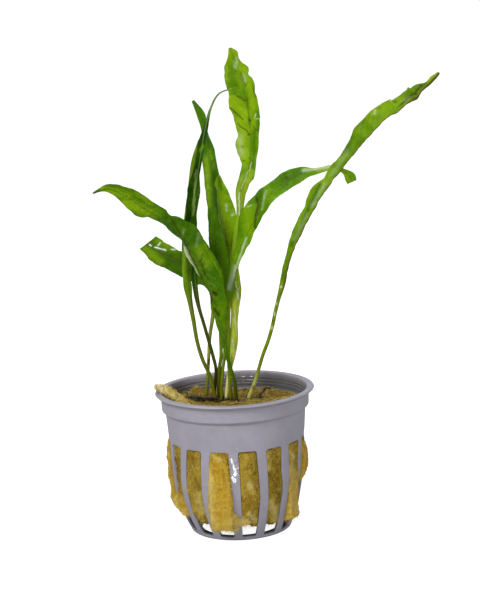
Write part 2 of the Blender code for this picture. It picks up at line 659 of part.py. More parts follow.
def frond(name, rows, parent):
    """A stem and its blade as one skin along the midrib."""
    path = smooth_rows(rows, int(RINGS_PER_ROW * len(rows)))
    points = frond_ring(path, rows[0][3])
    material = finish_of(name + "_green", FROND_COLOURS[name], 0.38, 0.4)
    return add_object(name, points.reshape(-1, 3), tube_faces(len(path), 8), material, parent, 60.0)


def roots_and_rhizome(parent):
    """The creeping rhizome and the roots that stand clear of the wool."""
    bark = finish_of("rhizome_bark", (0.035, 0.025, 0.012), 0.6)
    add_object("rhizome", *flat_tube(RHIZOME, 14, 8), bark, parent)
    for name, rows in ROOTS.items():
        skin = finish_of(name + "_brown", ROOT_COLOURS[name], 0.5)
        add_object(name, *flat_tube(rows, 8, 6), skin, parent)


def main():
    clear_scene()
    axis = bpy.data.objects.new("pot_axis", None)
    axis.location.x = AXIS_X * MM
    bpy.context.scene.collection.objects.link(axis)
    net_pot(axis)
    rockwool(axis)
    roots_and_rhizome(axis)
    for name, rows in FRONDS.items():
        frond(name, rows, axis)


main()
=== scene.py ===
"""The looks of a potted java fern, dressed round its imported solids.

Lengths are millimetres and angles degrees unless a name says otherwise, and a mesh is turned into
metres when it is made. Points are counted from the pot's own axis, which stands AXIS_X from the
frame's origin: +x is the viewer's right, -y is the side that faces the viewer and +z is up. An angle
round the pot starts at the side that faces the viewer and grows to the right.
"""

import itertools
import json
import logging
from collections.abc import Callable, Mapping, Sequence
from dataclasses import dataclass, field
from enum import Enum

import bpy
import numpy as np
from mathutils import Matrix
from numpy.typing import NDArray

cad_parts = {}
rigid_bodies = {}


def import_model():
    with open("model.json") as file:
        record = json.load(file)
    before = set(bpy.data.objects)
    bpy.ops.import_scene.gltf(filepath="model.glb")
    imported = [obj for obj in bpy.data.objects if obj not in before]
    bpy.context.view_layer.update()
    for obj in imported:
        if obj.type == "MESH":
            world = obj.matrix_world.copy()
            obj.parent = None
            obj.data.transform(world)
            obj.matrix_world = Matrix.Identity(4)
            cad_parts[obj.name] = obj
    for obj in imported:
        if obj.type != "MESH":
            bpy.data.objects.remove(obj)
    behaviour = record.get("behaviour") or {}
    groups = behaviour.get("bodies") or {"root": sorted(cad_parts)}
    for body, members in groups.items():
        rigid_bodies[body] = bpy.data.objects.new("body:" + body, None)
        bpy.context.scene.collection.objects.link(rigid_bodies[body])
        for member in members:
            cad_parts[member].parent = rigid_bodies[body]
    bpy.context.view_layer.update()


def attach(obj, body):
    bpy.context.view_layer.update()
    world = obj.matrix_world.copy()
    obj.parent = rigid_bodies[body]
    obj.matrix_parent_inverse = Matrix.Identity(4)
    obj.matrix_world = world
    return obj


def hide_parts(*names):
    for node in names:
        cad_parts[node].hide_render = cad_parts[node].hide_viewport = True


for startup_item in list(bpy.data.objects):
    bpy.data.objects.remove(startup_item, do_unlink=True)
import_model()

MM = 0.001
AXIS_X = -14.0

Array = NDArray[np.float64]
Colour = tuple[float, float, float]
Row = tuple[float, ...]
Rows = tuple[Row, ...]
Node = bpy.types.Node
Socket = bpy.types.NodeSocket
Tree = bpy.types.NodeTree
Value = Socket | float | Sequence[float]
log = logging.getLogger("potted_fern")


def paint(red: int, green: int, blue: int) -> Colour:
    """A colour read as 0 to 255 on a screen, turned into the linear shares that a shader takes.

    Args:
        red: The red reading.
        green: The green reading.
        blue: The blue reading.

    Returns:
        The three linear shares, ((c / 255 + 0.055) / 1.055) to the power 2.4 above the dark end.
    """
    share = np.array([red, green, blue]) / 255.0
    linear = np.where(share < 0.04045, share / 12.92, ((share + 0.055) / 1.055) ** 2.4)
    return tuple(float(part) for part in linear)


# Shapes


@dataclass
class Surface:
    """A mesh before it is made.

    Attributes:
        points: One row of x, y, z for each point, in millimetres from the pot's axis.
        faces: Lists of point numbers, each turning anticlockwise seen from outside.
        uv: Where each point lies on the flattened surface, in metres, or None.
        marks: A value at each point for each named effect that a material reads.
    """

    points: Array
    faces: list[list[int]]
    uv: Array | None = None
    marks: dict[str, Array] = field(default_factory=dict)


def joined(surfaces: Sequence[Surface]) -> Surface:
    """Several surfaces as one, each kept whole, without a flattened surface.

    Args:
        surfaces: The surfaces, which hold the same effects.

    Returns:
        One surface whose point numbers run on from one to the next.
    """
    starts = np.cumsum([0] + [len(surface.points) for surface in surfaces])
    faces = [[corner + int(start) for corner in face]
             for surface, start in zip(surfaces, starts) for face in surface.faces]
    marks = {name: np.concatenate([surface.marks[name] for surface in surfaces])
             for name in surfaces[0].marks}
    return Surface(np.concatenate([surface.points for surface in surfaces]), faces, marks=marks)


def grid_quads(rows: int, columns: int) -> NDArray[np.int64]:
    """Quads between the points of a grid that is stored row by row and goes round.

    Args:
        rows: How many rows of points.
        columns: How many points in a row.

    Returns:
        For each cell (i, j) the points (i, j), (i, j + 1), (i + 1, j + 1) and (i + 1, j).
    """
    i, j = np.meshgrid(np.arange(rows - 1), np.arange(columns), indexing="ij")
    after = (j + 1) % columns
    corners = [i * columns + j, i * columns + after, (i + 1) * columns + after, (i + 1) * columns + j]
    return np.stack(corners, axis=-1).reshape(-1, 4)


def tube_faces(rings: int, sides: int) -> list[list[int]]:
    """The quads of a tube and one flat face at each end of it.

    Args:
        rings: How many rings it has.
        sides: How many points each ring has.

    Returns:
        Its faces.
    """
    last = (rings - 1) * sides
    ends = [list(range(sides))[::-1], list(range(last, last + sides))]
    return grid_quads(rings, sides).tolist() + ends


def smooth_rows(rows: Sequence[Sequence[float]] | Array, count: int) -> Array:
    """Even steps along a Catmull-Rom curve through rows whose first three columns are x, y and z.

    Args:
        rows: The rows that the curve passes through.
        count: How many steps to return.

    Returns:
        That many rows, the same distance apart in space, with every column carried along.
    """
    rows = np.asarray(rows, float)
    ends = np.vstack([2 * rows[0] - rows[1], rows, 2 * rows[-1] - rows[-2]])
    at = np.linspace(0, len(rows) - 1, 60 * len(rows))
    step = np.minimum(at.astype(int), len(rows) - 2)
    t = (at - step)[:, None]
    a, b, c, d = (ends[step + k] for k in range(4))
    bend, twist = 2 * a - 5 * b + 4 * c - d, 3 * b - a - 3 * c + d
    curve = 0.5 * (2 * b + (c - a) * t + bend * t**2 + twist * t**3)
    along = np.r_[0, np.cumsum(np.linalg.norm(np.diff(curve[:, :3], axis=0), axis=1))]
    even = np.linspace(0, along[-1], count)
    return np.stack([np.interp(even, along, column) for column in curve.T], axis=1)


def length_of(path: Array) -> Array:
    """How far along a path each of its points is."""
    return np.r_[0, np.cumsum(np.linalg.norm(np.diff(path, axis=0), axis=1))]


def unit(vectors: Array) -> Array:
    """The same directions, each of length one."""
    return vectors / np.maximum(np.linalg.norm(vectors, axis=-1, keepdims=True), 1e-9)


def frame_along(path: Array) -> tuple[Array, Array, Array]:
    """The way a path runs, one direction across it in the picture and one away from the viewer.

    Args:
        path: Its points.

    Returns:
        The three directions at each point.
    """
    forward = unit(np.gradient(path, axis=0))
    across = unit(np.cross([0.0, 1.0, 0.0], forward))
    return forward, across, np.cross(forward, across)


def ease(value: Array | float, low: float, high: float) -> Array:
    """A smooth step, 0 at low and 1 at high: 3t^2 - 2t^3 of the share t of the way between them."""
    share = np.clip((np.asarray(value, float) - low) / (high - low), 0.0, 1.0)
    return share * share * (3 - 2 * share)


def wrapped(angle: Array) -> Array:
    """The same angle in radians, brought between -pi and pi."""
    return (angle + np.pi) % (2 * np.pi) - np.pi


def around(radius: Array | float, angle: Array | float, height: Array | float) -> Array:
    """The point at a radius, an angle in radians round the pot and a height."""
    parts = np.broadcast_arrays(radius * np.sin(angle), -radius * np.cos(angle), height)
    return np.stack(parts, axis=-1).astype(float)


def turned(first: Array, second: Array, sides: int) -> Array:
    """Round each point of a line, even directions that turn from its first direction to its second."""
    turn = 2 * np.pi * np.arange(sides)[:, None] / sides
    return first[:, None] * np.cos(turn) + second[:, None] * np.sin(turn)


def lattice_noise(points: Array, cell: float, seed: int) -> Array:
    """Smooth noise from -1 to 1: a value hashed at each corner of a cubic lattice, eased between corners.

    Args:
        points: Where to read it.
        cell: The lattice's step, in the points' own unit.
        seed: Which of many unlike noises.

    Returns:
        One value for each point.
    """
    scaled = np.asarray(points, float) / cell
    base = np.floor(scaled).astype(np.int64)
    part = scaled - base
    part = part * part * (3 - 2 * part)
    total = np.zeros(scaled.shape[:-1])
    for corner in itertools.product((0, 1), repeat=3):
        at = base + np.array(corner)
        code = at[..., 0] * 73856093 ^ at[..., 1] * 19349663 ^ at[..., 2] * 83492791 ^ seed * 50331653
        code = (code ^ (code >> 13)) * 1274126177 & 0x7FFFFFFF
        code = (code ^ (code >> 16)) & 0xFFFF
        total += np.prod(np.where(np.array(corner, bool), part, 1 - part), axis=-1) * (code / 32767.5 - 1)
    return total


def rough_noise(points: Array, cell: float, seed: int, octaves: int = 3) -> Array:
    """Noise summed over halving cells, each octave half as strong as the one before."""
    return sum(0.5**k * lattice_noise(points, cell * 0.5**k, seed + 17 * k) for k in range(octaves))


def grid_normals(grid: Array) -> Array:
    """Unit normals of a grid of points, from the cross product of its row and column differences."""
    return unit(np.cross(np.gradient(grid, axis=1), np.gradient(grid, axis=0)))


def fibres(starts: Array, directions: Array, lengths: Array, radius: float, curl: float,
           seed: int) -> Surface:
    """Short bent hairs, each a three-sided tube of five rings that thins to its tip.

    A hair's centre line is start + direction * length * t + side * curl * length * sin(pi t) / 2.

    Args:
        starts: Where each hair grows from.
        directions: The way each one runs.
        lengths: How long each one is.
        radius: Half of a hair's thickness at its foot.
        curl: How far a hair bows sideways, as a share of its length.
        seed: The random stream.

    Returns:
        All of the hairs as one surface.
    """
    rings, sides, count = 5, 3, len(starts)
    random = np.random.default_rng(seed)
    forward = unit(directions)
    side = unit(np.cross(forward, unit(random.normal(size=(count, 3)))))
    other = np.cross(forward, side)
    t = np.linspace(0, 1, rings)[None, :, None]
    bow = curl * random.uniform(-1, 1, (count, 1, 1)) * np.sin(np.pi * t) / 2
    line = starts[:, None] + lengths[:, None, None] * (forward[:, None] * t + side[:, None] * bow)
    ring = turned(side, other, sides)
    points = line[:, :, None] + (radius * (1 - 0.75 * t))[..., None] * ring[:, None]
    one = np.array(grid_quads(rings, sides))
    starts_at = (np.arange(count) * rings * sides)[:, None, None]
    quads = (one[None] + starts_at).reshape(-1, 4).tolist()
    caps = np.array([[2, 1, 0], [rings * sides - 3, rings * sides - 2, rings * sides - 1]])
    tone = np.repeat(random.uniform(0, 1, count), rings * sides)
    return Surface(points.reshape(-1, 3), quads + (caps[None] + starts_at).reshape(-1, 3).tolist(),
                   marks={"tone": tone})


def make_piece(name: str, surface: Surface, material: bpy.types.Material,
               nodes: Sequence[str] = ()) -> bpy.types.Object:
    """Makes a finished piece of the plant and tells the frame what it stands for.

    Args:
        name: The piece's name.
        surface: Its shape.
        material: Its finish.
        nodes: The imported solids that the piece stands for.

    Returns:
        The new object, at the origin with its place in its mesh.
    """
    mesh = bpy.data.meshes.new(name)
    world = (surface.points + [AXIS_X, 0.0, 0.0]) * MM
    mesh.from_pydata(world.tolist(), [], surface.faces)
    mesh.calc_loop_triangles()
    corners = np.empty(3 * len(mesh.loop_triangles), np.int32)
    mesh.loop_triangles.foreach_get("vertices", corners)
    if np.linalg.det(surface.points[corners.reshape(-1, 3)]).sum() < 0:
        mesh.flip_normals()
    if surface.uv is not None:
        loops = np.empty(len(mesh.loops), np.int32)
        mesh.loops.foreach_get("vertex_index", loops)
        mesh.uv_layers.new(name="flat").data.foreach_set("uv", surface.uv[loops].astype(np.float32).ravel())
    for mark, values in surface.marks.items():
        mesh.attributes.new(mark, "FLOAT", "POINT").data.foreach_set("value", values.astype(np.float32))
    mesh.materials.append(material)
    mesh.shade_smooth()
    mesh.update()
    piece = bpy.data.objects.new(name, mesh)
    bpy.context.scene.collection.objects.link(piece)
    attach(piece, "root")
    if nodes:
        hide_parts(*nodes)
    log.info("%s: %d triangles", name, len(mesh.loop_triangles))
    return piece


# Shader helpers and shared effects


def feed(item: Node, inputs: Mapping[str | int, Value]) -> None:
    """Links each socket to the node's input of that name, and sets each plain value on it.

    Args:
        item: The node.
        inputs: What goes to each of its inputs.
    """
    for key, value in inputs.items():
        if isinstance(value, Socket):
            item.id_data.links.new(value, item.inputs[key])
        else:
            item.inputs[key].default_value = value


def node(tree: Tree, kind: str, inputs: Mapping[str | int, Value] | None = None, **settings: object) -> Node:
    """Adds a shader node.

    Args:
        tree: Where it goes.
        kind: The node's type.
        inputs: For each input a socket that feeds it or a plain value.
        settings: The node's own settings.

    Returns:
        The new node.
    """
    made = tree.nodes.new(kind)
    for setting, value in settings.items():
        setattr(made, setting, value)
    feed(made, inputs or {})
    return made


def maths(operation: str, *values: Value) -> Socket:
    """The result of one sum on numbers or sockets, in the tree of its first socket."""
    tree = next(value.id_data for value in values if isinstance(value, Socket))
    return node(tree, "ShaderNodeMath", dict(enumerate(values)), operation=operation).outputs[0]


def times(first: Value, second: Value) -> Socket:
    """One value times another."""
    return maths("MULTIPLY", first, second)


def plus(first: Value, second: Value) -> Socket:
    """One value and another together."""
    return maths("ADD", first, second)


def minus(first: Value, second: Value) -> Socket:
    """One value less another."""
    return maths("SUBTRACT", first, second)


def larger(first: Value, second: Value) -> Socket:
    """The larger of two values."""
    return maths("MAXIMUM", first, second)


def held(value: Socket) -> Socket:
    """The value, held between 0 and 1."""
    return maths("MINIMUM", larger(value, 0.0), 1.0)


def blend(share: Socket, first: Value, second: Value) -> Socket:
    """A colour between two others.

    Args:
        share: How much of the second there is, from 0 to 1.
        first: A colour or the socket that gives it.
        second: The other one.

    Returns:
        The colour.
    """
    ends = [(*colour, 1.0) if isinstance(colour, tuple) else colour for colour in (first, second)]
    inputs = {0: share, 6: ends[0], 7: ends[1]}
    return node(share.id_data, "ShaderNodeMix", inputs, data_type="RGBA").outputs[2]


def between(value: Socket, low: float, high: float, start: float = 0.0, end: float = 1.0) -> Socket:
    """A smooth step from start to end as the value goes from low to high."""
    inputs = {"Value": value, "From Min": low, "From Max": high, "To Min": start, "To Max": end}
    return node(value.id_data, "ShaderNodeMapRange", inputs, interpolation_type="SMOOTHSTEP").outputs[0]


def noise_at(place: Socket, scale: Value, detail: float = 2.0, rough: float = 0.5,
             bent: float = 0.0) -> Socket:
    """A noise texture's value, from 0 to 1."""
    inputs = {"Vector": place, "Scale": scale, "Detail": detail, "Roughness": rough, "Distortion": bent}
    return node(place.id_data, "ShaderNodeTexNoise", inputs).outputs[0]


def stretched(place: Socket, *scale: float) -> Socket:
    """A place whose x, y and z are each scaled, which draws a texture out where the scale is small."""
    return node(place.id_data, "ShaderNodeMapping", {"Vector": place, "Scale": scale}).outputs[0]


def object_place(tree: Tree) -> Socket:
    """Where the surface is, in the piece's own metres."""
    return node(tree, "ShaderNodeTexCoord").outputs["Object"]


def mark_of(tree: Tree, name: str) -> Socket:
    """The value that the mesh holds for an effect."""
    return node(tree, "ShaderNodeAttribute", attribute_name=name, attribute_type="GEOMETRY").outputs["Fac"]


class Effect(Enum):
    """The shared effects, each a node group."""

    MOTTLE = "mottle"
    WET_FILM = "wet_film"
    LEAF_VEINS = "leaf_veins"
    FINE_GRAIN = "fine_grain"


@dataclass
class Effects:
    """Builds each shared effect once and places it in materials.

    Attributes:
        built: The groups made so far.
    """

    built: dict[Effect, Tree] = field(default_factory=dict)

    def new_group(self, effect: Effect, inputs: Mapping[str, float | None],
                  outputs: Sequence[str]) -> tuple[list[Socket], Node]:
        """Makes an empty group with its sockets.

        Args:
            effect: Which effect it is for.
            inputs: Each input's plain value, or None for a place.
            outputs: The names of the masks and values that it puts out.

        Returns:
            What the group is given, in the order of its inputs, and its output node.
        """
        tree = bpy.data.node_groups.new(effect.value, "ShaderNodeTree")
        for name, value in inputs.items():
            kind = "NodeSocketVector" if value is None else "NodeSocketFloat"
            socket = tree.interface.new_socket(name, in_out="INPUT", socket_type=kind)
            if value is not None:
                socket.default_value = value
        for name in outputs:
            tree.interface.new_socket(name, in_out="OUTPUT", socket_type="NodeSocketFloat")
        self.built[effect] = tree
        given = tree.nodes.new("NodeGroupInput")
        return [given.outputs[name] for name in inputs], tree.nodes.new("NodeGroupOutput")

    def build_mottle(self) -> None:
        """Cloudy patches with finer ones in them, from 0 to 1."""
        inputs = {"Place": None, "Scale": 300.0, "Sharpness": 0.5}
        (place, scale, sharpness), out = self.new_group(Effect.MOTTLE, inputs, ["Mask"])
        large = noise_at(place, scale, 3.0, 0.6, 0.4)
        both = plus(times(large, 0.7), times(noise_at(place, times(scale, 4.3)), 0.3))
        gain = plus(1.0, times(sharpness, 6.0))
        feed(out, {"Mask": held(plus(times(minus(both, 0.5), gain), 0.5))})

    def build_wet_film(self) -> None:
        """Patches of water that lie on a surface, with small drops, as a gloss mask and a height."""
        inputs = {"Place": None, "Scale": 260.0, "Amount": 0.4}
        (place, scale, amount), out = self.new_group(Effect.WET_FILM, inputs, ["Gloss", "Height"])
        patches = noise_at(place, scale, 3.0, 0.55, 0.6)
        film = held(times(minus(patches, minus(0.82, times(amount, 0.5))), 9.0))
        drop_scale = times(scale, 3.4)
        cells = node(place.id_data, "ShaderNodeTexVoronoi", {"Vector": place, "Scale": drop_scale})
        few = maths("GREATER_THAN", noise_at(place, scale, 0.0), 0.56)
        drops = times(between(cells.outputs["Distance"], 0.32, 0.12), times(few, amount))
        height = plus(times(film, noise_at(place, drop_scale, 1.0)), times(drops, 0.8))
        feed(out, {"Gloss": larger(film, drops), "Height": height})

    def build_leaf_veins(self) -> None:
        """A midrib, slanting side veins and the net between them, on a blade laid flat in metres."""
        inputs = {"Flat": None, "Spacing": 0.0026, "Slant": 1.3, "Net": 900.0}
        outputs = ["Midrib", "Vein", "Net", "Height"]
        (flat, spacing, slant, net_scale), out = self.new_group(Effect.LEAF_VEINS, inputs, outputs)
        tree = flat.id_data
        wander = node(tree, "ShaderNodeTexNoise", {"Vector": flat, "Scale": 420.0, "Detail": 2.0})
        ends = {0: wander.outputs["Color"], 1: (0.5, 0.5, 0.5)}
        shift = node(tree, "ShaderNodeVectorMath", ends, operation="SUBTRACT").outputs[0]
        shift = node(tree, "ShaderNodeVectorMath", {0: shift, "Scale": 0.0012}, operation="SCALE").outputs[0]
        moved = node(tree, "ShaderNodeVectorMath", {0: flat, 1: shift}, operation="ADD").outputs[0]
        straight, parts = (node(tree, "ShaderNodeSeparateXYZ", {0: place}).outputs for place in (flat, moved))
        midrib = between(maths("ABSOLUTE", straight["Y"]), 0.00045, 0.00012)
        turns = maths("DIVIDE", minus(parts["X"], times(maths("ABSOLUTE", parts["Y"]), slant)), spacing)
        vein = between(maths("ABSOLUTE", minus(maths("FRACT", turns), 0.5)), 0.10, 0.02)
        cells = node(tree, "ShaderNodeTexVoronoi", {"Vector": moved, "Scale": net_scale},
                     feature="DISTANCE_TO_EDGE")
        net = between(cells.outputs["Distance"], 0.14, 0.02)
        height = minus(times(midrib, 1.3), larger(times(vein, 0.9), times(net, 0.5)))
        feed(out, {"Midrib": midrib, "Vein": vein, "Net": net, "Height": height})

    def build_fine_grain(self) -> None:
        """Close grain: specks for colour and a height for relief."""
        inputs = {"Place": None, "Scale": 900.0}
        (place, scale), out = self.new_group(Effect.FINE_GRAIN, inputs, ["Specks", "Height"])
        grain = noise_at(place, scale, 5.0, 0.7)
        height = plus(times(grain, 0.6), noise_at(place, times(scale, 0.3)))
        feed(out, {"Specks": between(grain, 0.35, 0.68), "Height": height})

    def place(self, effect: Effect, where: Socket, **inputs: Value) -> Mapping[str, Socket]:
        """Puts an effect into a material.

        Args:
            effect: Which effect.
            where: The place that it is read at.
            inputs: What feeds its other inputs.

        Returns:
            The group's outputs, which carry the effect.
        """
        if effect not in self.built:
            builders: dict[Effect, Callable[[], None]] = {
                Effect.MOTTLE: self.build_mottle,
                Effect.WET_FILM: self.build_wet_film,
                Effect.LEAF_VEINS: self.build_leaf_veins,
                Effect.FINE_GRAIN: self.build_fine_grain,
            }
            builders[effect]()
        group = self.built[effect]
        return node(where.id_data, "ShaderNodeGroup", {0: where, **inputs}, node_tree=group).outputs


EFFECTS = Effects()


def new_material(name: str) -> tuple[bpy.types.Material, Tree, Node]:
    """A material with its nodes and its main shader.

    Args:
        name: Its name.

    Returns:
        The material, its node tree and the shader.
    """
    material = bpy.data.materials.new(name)
    material.use_nodes = True
    return material, material.node_tree, material.node_tree.nodes["Principled BSDF"]


def relief(shader: Node, height: Socket, depth: float, strength: float = 1.0) -> None:
    """Turns a height, in units of depth metres, into the normal of the shader and of its coat."""
    bump = node(shader.id_data, "ShaderNodeBump", {"Strength": strength, "Distance": depth, "Height": height})
    feed(shader, {"Normal": bump.outputs[0], "Coat Normal": bump.outputs[0]})


# Net pot


class Face(Enum):
    """The two faces of the pot's wall, by the first of their columns in the rows."""

    OUTER = 0
    INNER = 2


@dataclass(frozen=True)
class PlasticFinish:
    """Matt grey moulded plastic, wet in places."""

    body: Colour = paint(150, 147, 158)
    shade: Colour = paint(139, 136, 147)
    # A painted shade on the inner wall of the collar.
    inside: Colour = paint(104, 103, 106)
    # A painted shadow over the inside of the base.
    painted_base_shade: Colour = paint(34, 34, 36)
    # A painted highlight: the white glints of water on the front rib and the inner back wall.
    water: Colour = paint(246, 248, 252)
    scratched: Colour = paint(176, 173, 184)
    scarred: Colour = paint(96, 92, 98)
    roughness: float = 0.40

    def material(self) -> bpy.types.Material:
        """Faint clouding, fine scratches that run round, a water film where the mesh is marked wet, painted
        shade inside the collar and base, and painted white glints of water.

        Returns:
            The finished material.
        """
        material, tree, shader = new_material("grey_plastic")
        place, wetness = object_place(tree), mark_of(tree, "wet")
        clouds = EFFECTS.place(Effect.MOTTLE, place, Scale=110.0, Sharpness=0.3)["Mask"]
        film = EFFECTS.place(Effect.WET_FILM, place, Scale=420.0, Amount=0.75)
        grain = EFFECTS.place(Effect.FINE_GRAIN, place, Scale=2600.0)["Height"]
        scratch = between(noise_at(stretched(place, 1.0, 1.0, 14.0), 300.0, 4.0, 0.7), 0.66, 0.76)
        glint_streaks = noise_at(stretched(place, 1.0, 1.0, 0.4), 900.0, 3.0, 0.6, 0.8)
        glint_streaks = plus(glint_streaks, times(mark_of(tree, "painted_glint"), 0.54))
        colour = blend(clouds, self.shade, self.body)
        # Painted shade inside the collar and over the inside of the base.
        colour = blend(mark_of(tree, "inside"), colour, self.inside)
        colour = blend(mark_of(tree, "painted_base_shade"), colour, self.painted_base_shade)
        colour = blend(times(scratch, 0.25), colour, self.scratched)
        # Painted highlight: white streaks of water glints where that mark is set.
        colour = blend(between(glint_streaks, 0.98, 1.04), colour, self.water)
        colour = blend(mark_of(tree, "scar"), colour, self.scarred)
        wet = times(wetness, film["Gloss"])
        dull = between(clouds, 0.0, 1.0, self.roughness - 0.05, self.roughness + 0.07)
        feed(shader, {
            "Base Color": colour,
            "Roughness": times(dull, minus(1.0, times(wet, 0.9))),
            "Coat Weight": wet,
            "Coat Roughness": 0.04,
            "Specular IOR Level": 0.35,
        })
        water = times(times(film["Height"], wetness), 3.0)
        relief(shader, plus(times(grain, 0.10), water), 0.00016, 0.8)
        return material


@dataclass
class NetPot:
    """The slotted pot: a wall carried round a profile, with openings between its ribs.

    Attributes:
        ribs: How many ribs stand round the pot.
        phase: The angle of the front rib.
        rib_base_width: A rib's width at the pot's base.
        rib_top_width: Its width where the slots end.
        corner: The radius of the slots' upper corners, which is twice that of the lower ones.
        rib_columns: How many columns of points a rib has.
        slot_columns: How many more lie across a slot.
        foot_row: The row where the slots start.
        head_row: The row where they end.
        rows: Profile rows of outer radius and height, then inner radius and height.
        bends: How far, in degrees, the wool has pushed a rib aside half way up, by the rib's number.
        dents: The angle and height of each place where the wall is pushed, how wide it is in degrees
            and how tall, and how far the wall stands out there.
        ridge_depth: Half the depth of the ridges inside the collar.
        ridge_pitch: How far apart they are.
        bevel: How far its edges are rounded.
        front_half: Half of the front rib's width, in degrees.
        wet_from: The height where the front rib starts to be wet.
        wet_wall: The angles between which the back of the inner wall is wet, in degrees.
        wall_glint_height: The height of the line of water on that wall, drawn as a painted highlight of
            glints.
        scar: The angle to the left of the front rib and the height of a scratch across a rib.
        base_shade_below: The height under which the inside is painted dark, a painted shade.
        finish: Its plastic.
    """

    ribs: int = 15
    phase: float = -4.2
    rib_base_width: float = 2.9
    rib_top_width: float = 3.35
    corner: float = 0.9
    rib_columns: int = 7
    slot_columns: int = 4
    foot_row: int = 3
    head_row: int = 8
    rows: Rows = (
        (13.8, 0, 13.8, 1), (16.9, 0, 16.4, 1), (17.4, 0.4, 16.8, 1.3), (17.7, 1.1, 16.9, 1.7),
        (19.1, 3.9, 18.2, 4.3), (21.1, 9.8, 20.2, 10), (22.5, 17.5, 21.6, 17.5), (23.2, 31.6, 22.3, 31.6),
        (23.4, 32.7, 22.5, 32.7), (24.2, 42.3, 23.3, 42.5), (25.4, 43.4, 24.5, 44), (25.6, 47.7, 24.7, 48),
        (26.2, 48.3, 25, 49.2), (27.1, 48.6, 25.4, 49.5), (27.5, 49, 27.2, 49.4),
    )
    bends: tuple[tuple[int, float], ...] = ((-2, -4.8), (-1, -2.7), (0, 0.8), (1, 1.6), (2, 0.8))
    dents: Rows = ((-77.0, 24.0, 14.0, 12.0, 0.5), (70.0, 13.0, 18.0, 6.0, -1.7))
    ridge_depth: float = 0.09
    ridge_pitch: float = 1.15
    bevel: float = 0.14
    front_half: float = 5.2
    wet_from: float = 21.5
    wet_wall: tuple[float, float] = (160.0, 200.0)
    wall_glint_height: float = 47.6
    scar: tuple[float, float] = (25.0, 27.6)
    base_shade_below: float = 6.0
    finish: PlasticFinish = PlasticFinish()

    @property
    def pitch(self) -> float:
        """The angle from one rib to the next, in radians."""
        return 2 * np.pi / self.ribs

    @property
    def slot_span(self) -> tuple[float, float]:
        """The heights between which the slots are open."""
        return self.rows[self.foot_row][1], self.rows[self.head_row][1]

    def radius(self, height: Array | float, face: Face) -> Array:
        """The wall's radius at a height, read along one face of the profile."""
        body = np.array(self.rows[1:12])
        return np.interp(height, body[:, face.value + 1], body[:, face.value])

    def rib_half_width(self, height: Array | float) -> Array:
        """Half of a rib's width, which narrows down to the base."""
        return 0.5 * np.interp(height, (0.0, self.slot_span[1]), (self.rib_base_width, self.rib_top_width))

    def rib_angle(self, rib: NDArray[np.int64], height: Array | float) -> Array:
        """The angle of a rib's middle: its even place, and its bend times sin(pi t) up the slots.

        Args:
            rib: The rib's number.
            height: The heights to read it at.

        Returns:
            The angles in radians.
        """
        pushed = np.zeros(self.ribs)
        for number, degrees in self.bends:
            pushed[number % self.ribs] = np.radians(degrees)
        foot, head = self.slot_span
        up = np.clip((head - np.asarray(height)) / (head - foot), 0.0, 1.0)
        return np.radians(self.phase) + self.pitch * rib + pushed[rib % self.ribs] * np.sin(np.pi * up)

    def slot_edges(self, slot: int, height: Array) -> tuple[Array, Array]:
        """The angles of a slot's two sides, the slot being the one to the right of that rib.

        Args:
            slot: The number of the rib on its left.
            height: Heights.

        Returns:
            The left side's angles and the right side's, in radians.
        """
        half = self.rib_half_width(height) / self.radius(height, Face.OUTER)
        first, second = (self.rib_angle(np.array(rib), height) for rib in (slot, slot + 1))
        return first + half, second - half

    def dent(self, angle: Array, height: Array | float) -> Array:
        """How far the wall is pushed out: the sum of out * exp(-(turn / wide)^2 - (rise / tall)^2).

        Args:
            angle: Angles in radians.
            height: Heights.

        Returns:
            One distance for each.
        """
        pushed = np.zeros(np.broadcast_shapes(np.shape(angle), np.shape(height)))
        for turn, level, wide, tall, out in self.dents:
            off = np.degrees(wrapped(angle - np.radians(turn)))
            pushed = pushed + out * np.exp(-((off / wide) ** 2) - ((height - level) / tall) ** 2)
        return pushed

    def fine_rows(self) -> tuple[Array, int, int]:
        """The profile with close rows where the slots' rounded corners are and along the inner ridges.

        Returns:
            The rows, the row where the slots start and the row where they end.
        """
        rows = np.array(self.rows)
        curve = smooth_rows(np.insert(rows[self.foot_row:self.head_row + 1], 2, 0.0, axis=1), 400)
        foot, head = self.slot_span
        steps = np.array([0.0, 0.04, 0.15, 0.35, 0.6, 0.9]) * self.corner / 0.9
        plain = np.linspace(foot + 1.6, head - 2.2, 15)
        heights = np.concatenate([foot + 0.5 * steps, plain, head - steps[::-1]])
        slots = np.stack([np.interp(heights, curve[:, 1], curve[:, k]) for k in (0, 1, 3, 4)], axis=1)
        wall = np.linspace(rows[8], rows[9], 7)[1:]
        collar = np.linspace(rows[10], rows[11], 20)
        inner = collar[:, 3]
        fade = ease(inner, inner[0], inner[0] + 0.5) * ease(inner, inner[-1], inner[-1] - 0.3)
        collar[:, 2] -= self.ridge_depth * fade * (1 + np.sin(2 * np.pi * inner / self.ridge_pitch))
        made = np.vstack([rows[:self.foot_row], slots, wall, collar, rows[12:]])
        return made, self.foot_row, self.foot_row + len(slots) - 1

    def row_angles(self, row: Array, in_slots: bool) -> Array:
        """The angles of one row's points: across each rib, then across the slot to its right.

        Args:
            row: The row's outer radius and height, then its inner ones.
            in_slots: Whether the row lies between the slots' ends, where the corners are rounded.

        Returns:
            Angles in radians. A corner adds c - sqrt(c^2 - (c - d)^2) to a rib's half width at a
            distance d below the slot's end, c being the corner's radius.
        """
        half = self.rib_half_width(row[1])
        if in_slots:
            foot, head = self.slot_span
            for distance, corner in ((head - row[1], self.corner), (row[1] - foot, 0.5 * self.corner)):
                left = np.clip(corner - distance, 0.0, corner)
                half += corner - np.sqrt(corner**2 - left**2)
        edge = half / row[0]
        middles = self.rib_angle(np.arange(self.ribs + 1), row[1])[:, None]
        rib = middles[:-1] + np.linspace(-edge, edge, self.rib_columns)
        share = np.linspace(0, 1, self.slot_columns + 2)[1:-1]
        slot = middles[:-1] + edge + (middles[1:] - middles[:-1] - 2 * edge) * share
        return np.concatenate([rib, slot], axis=1).ravel()

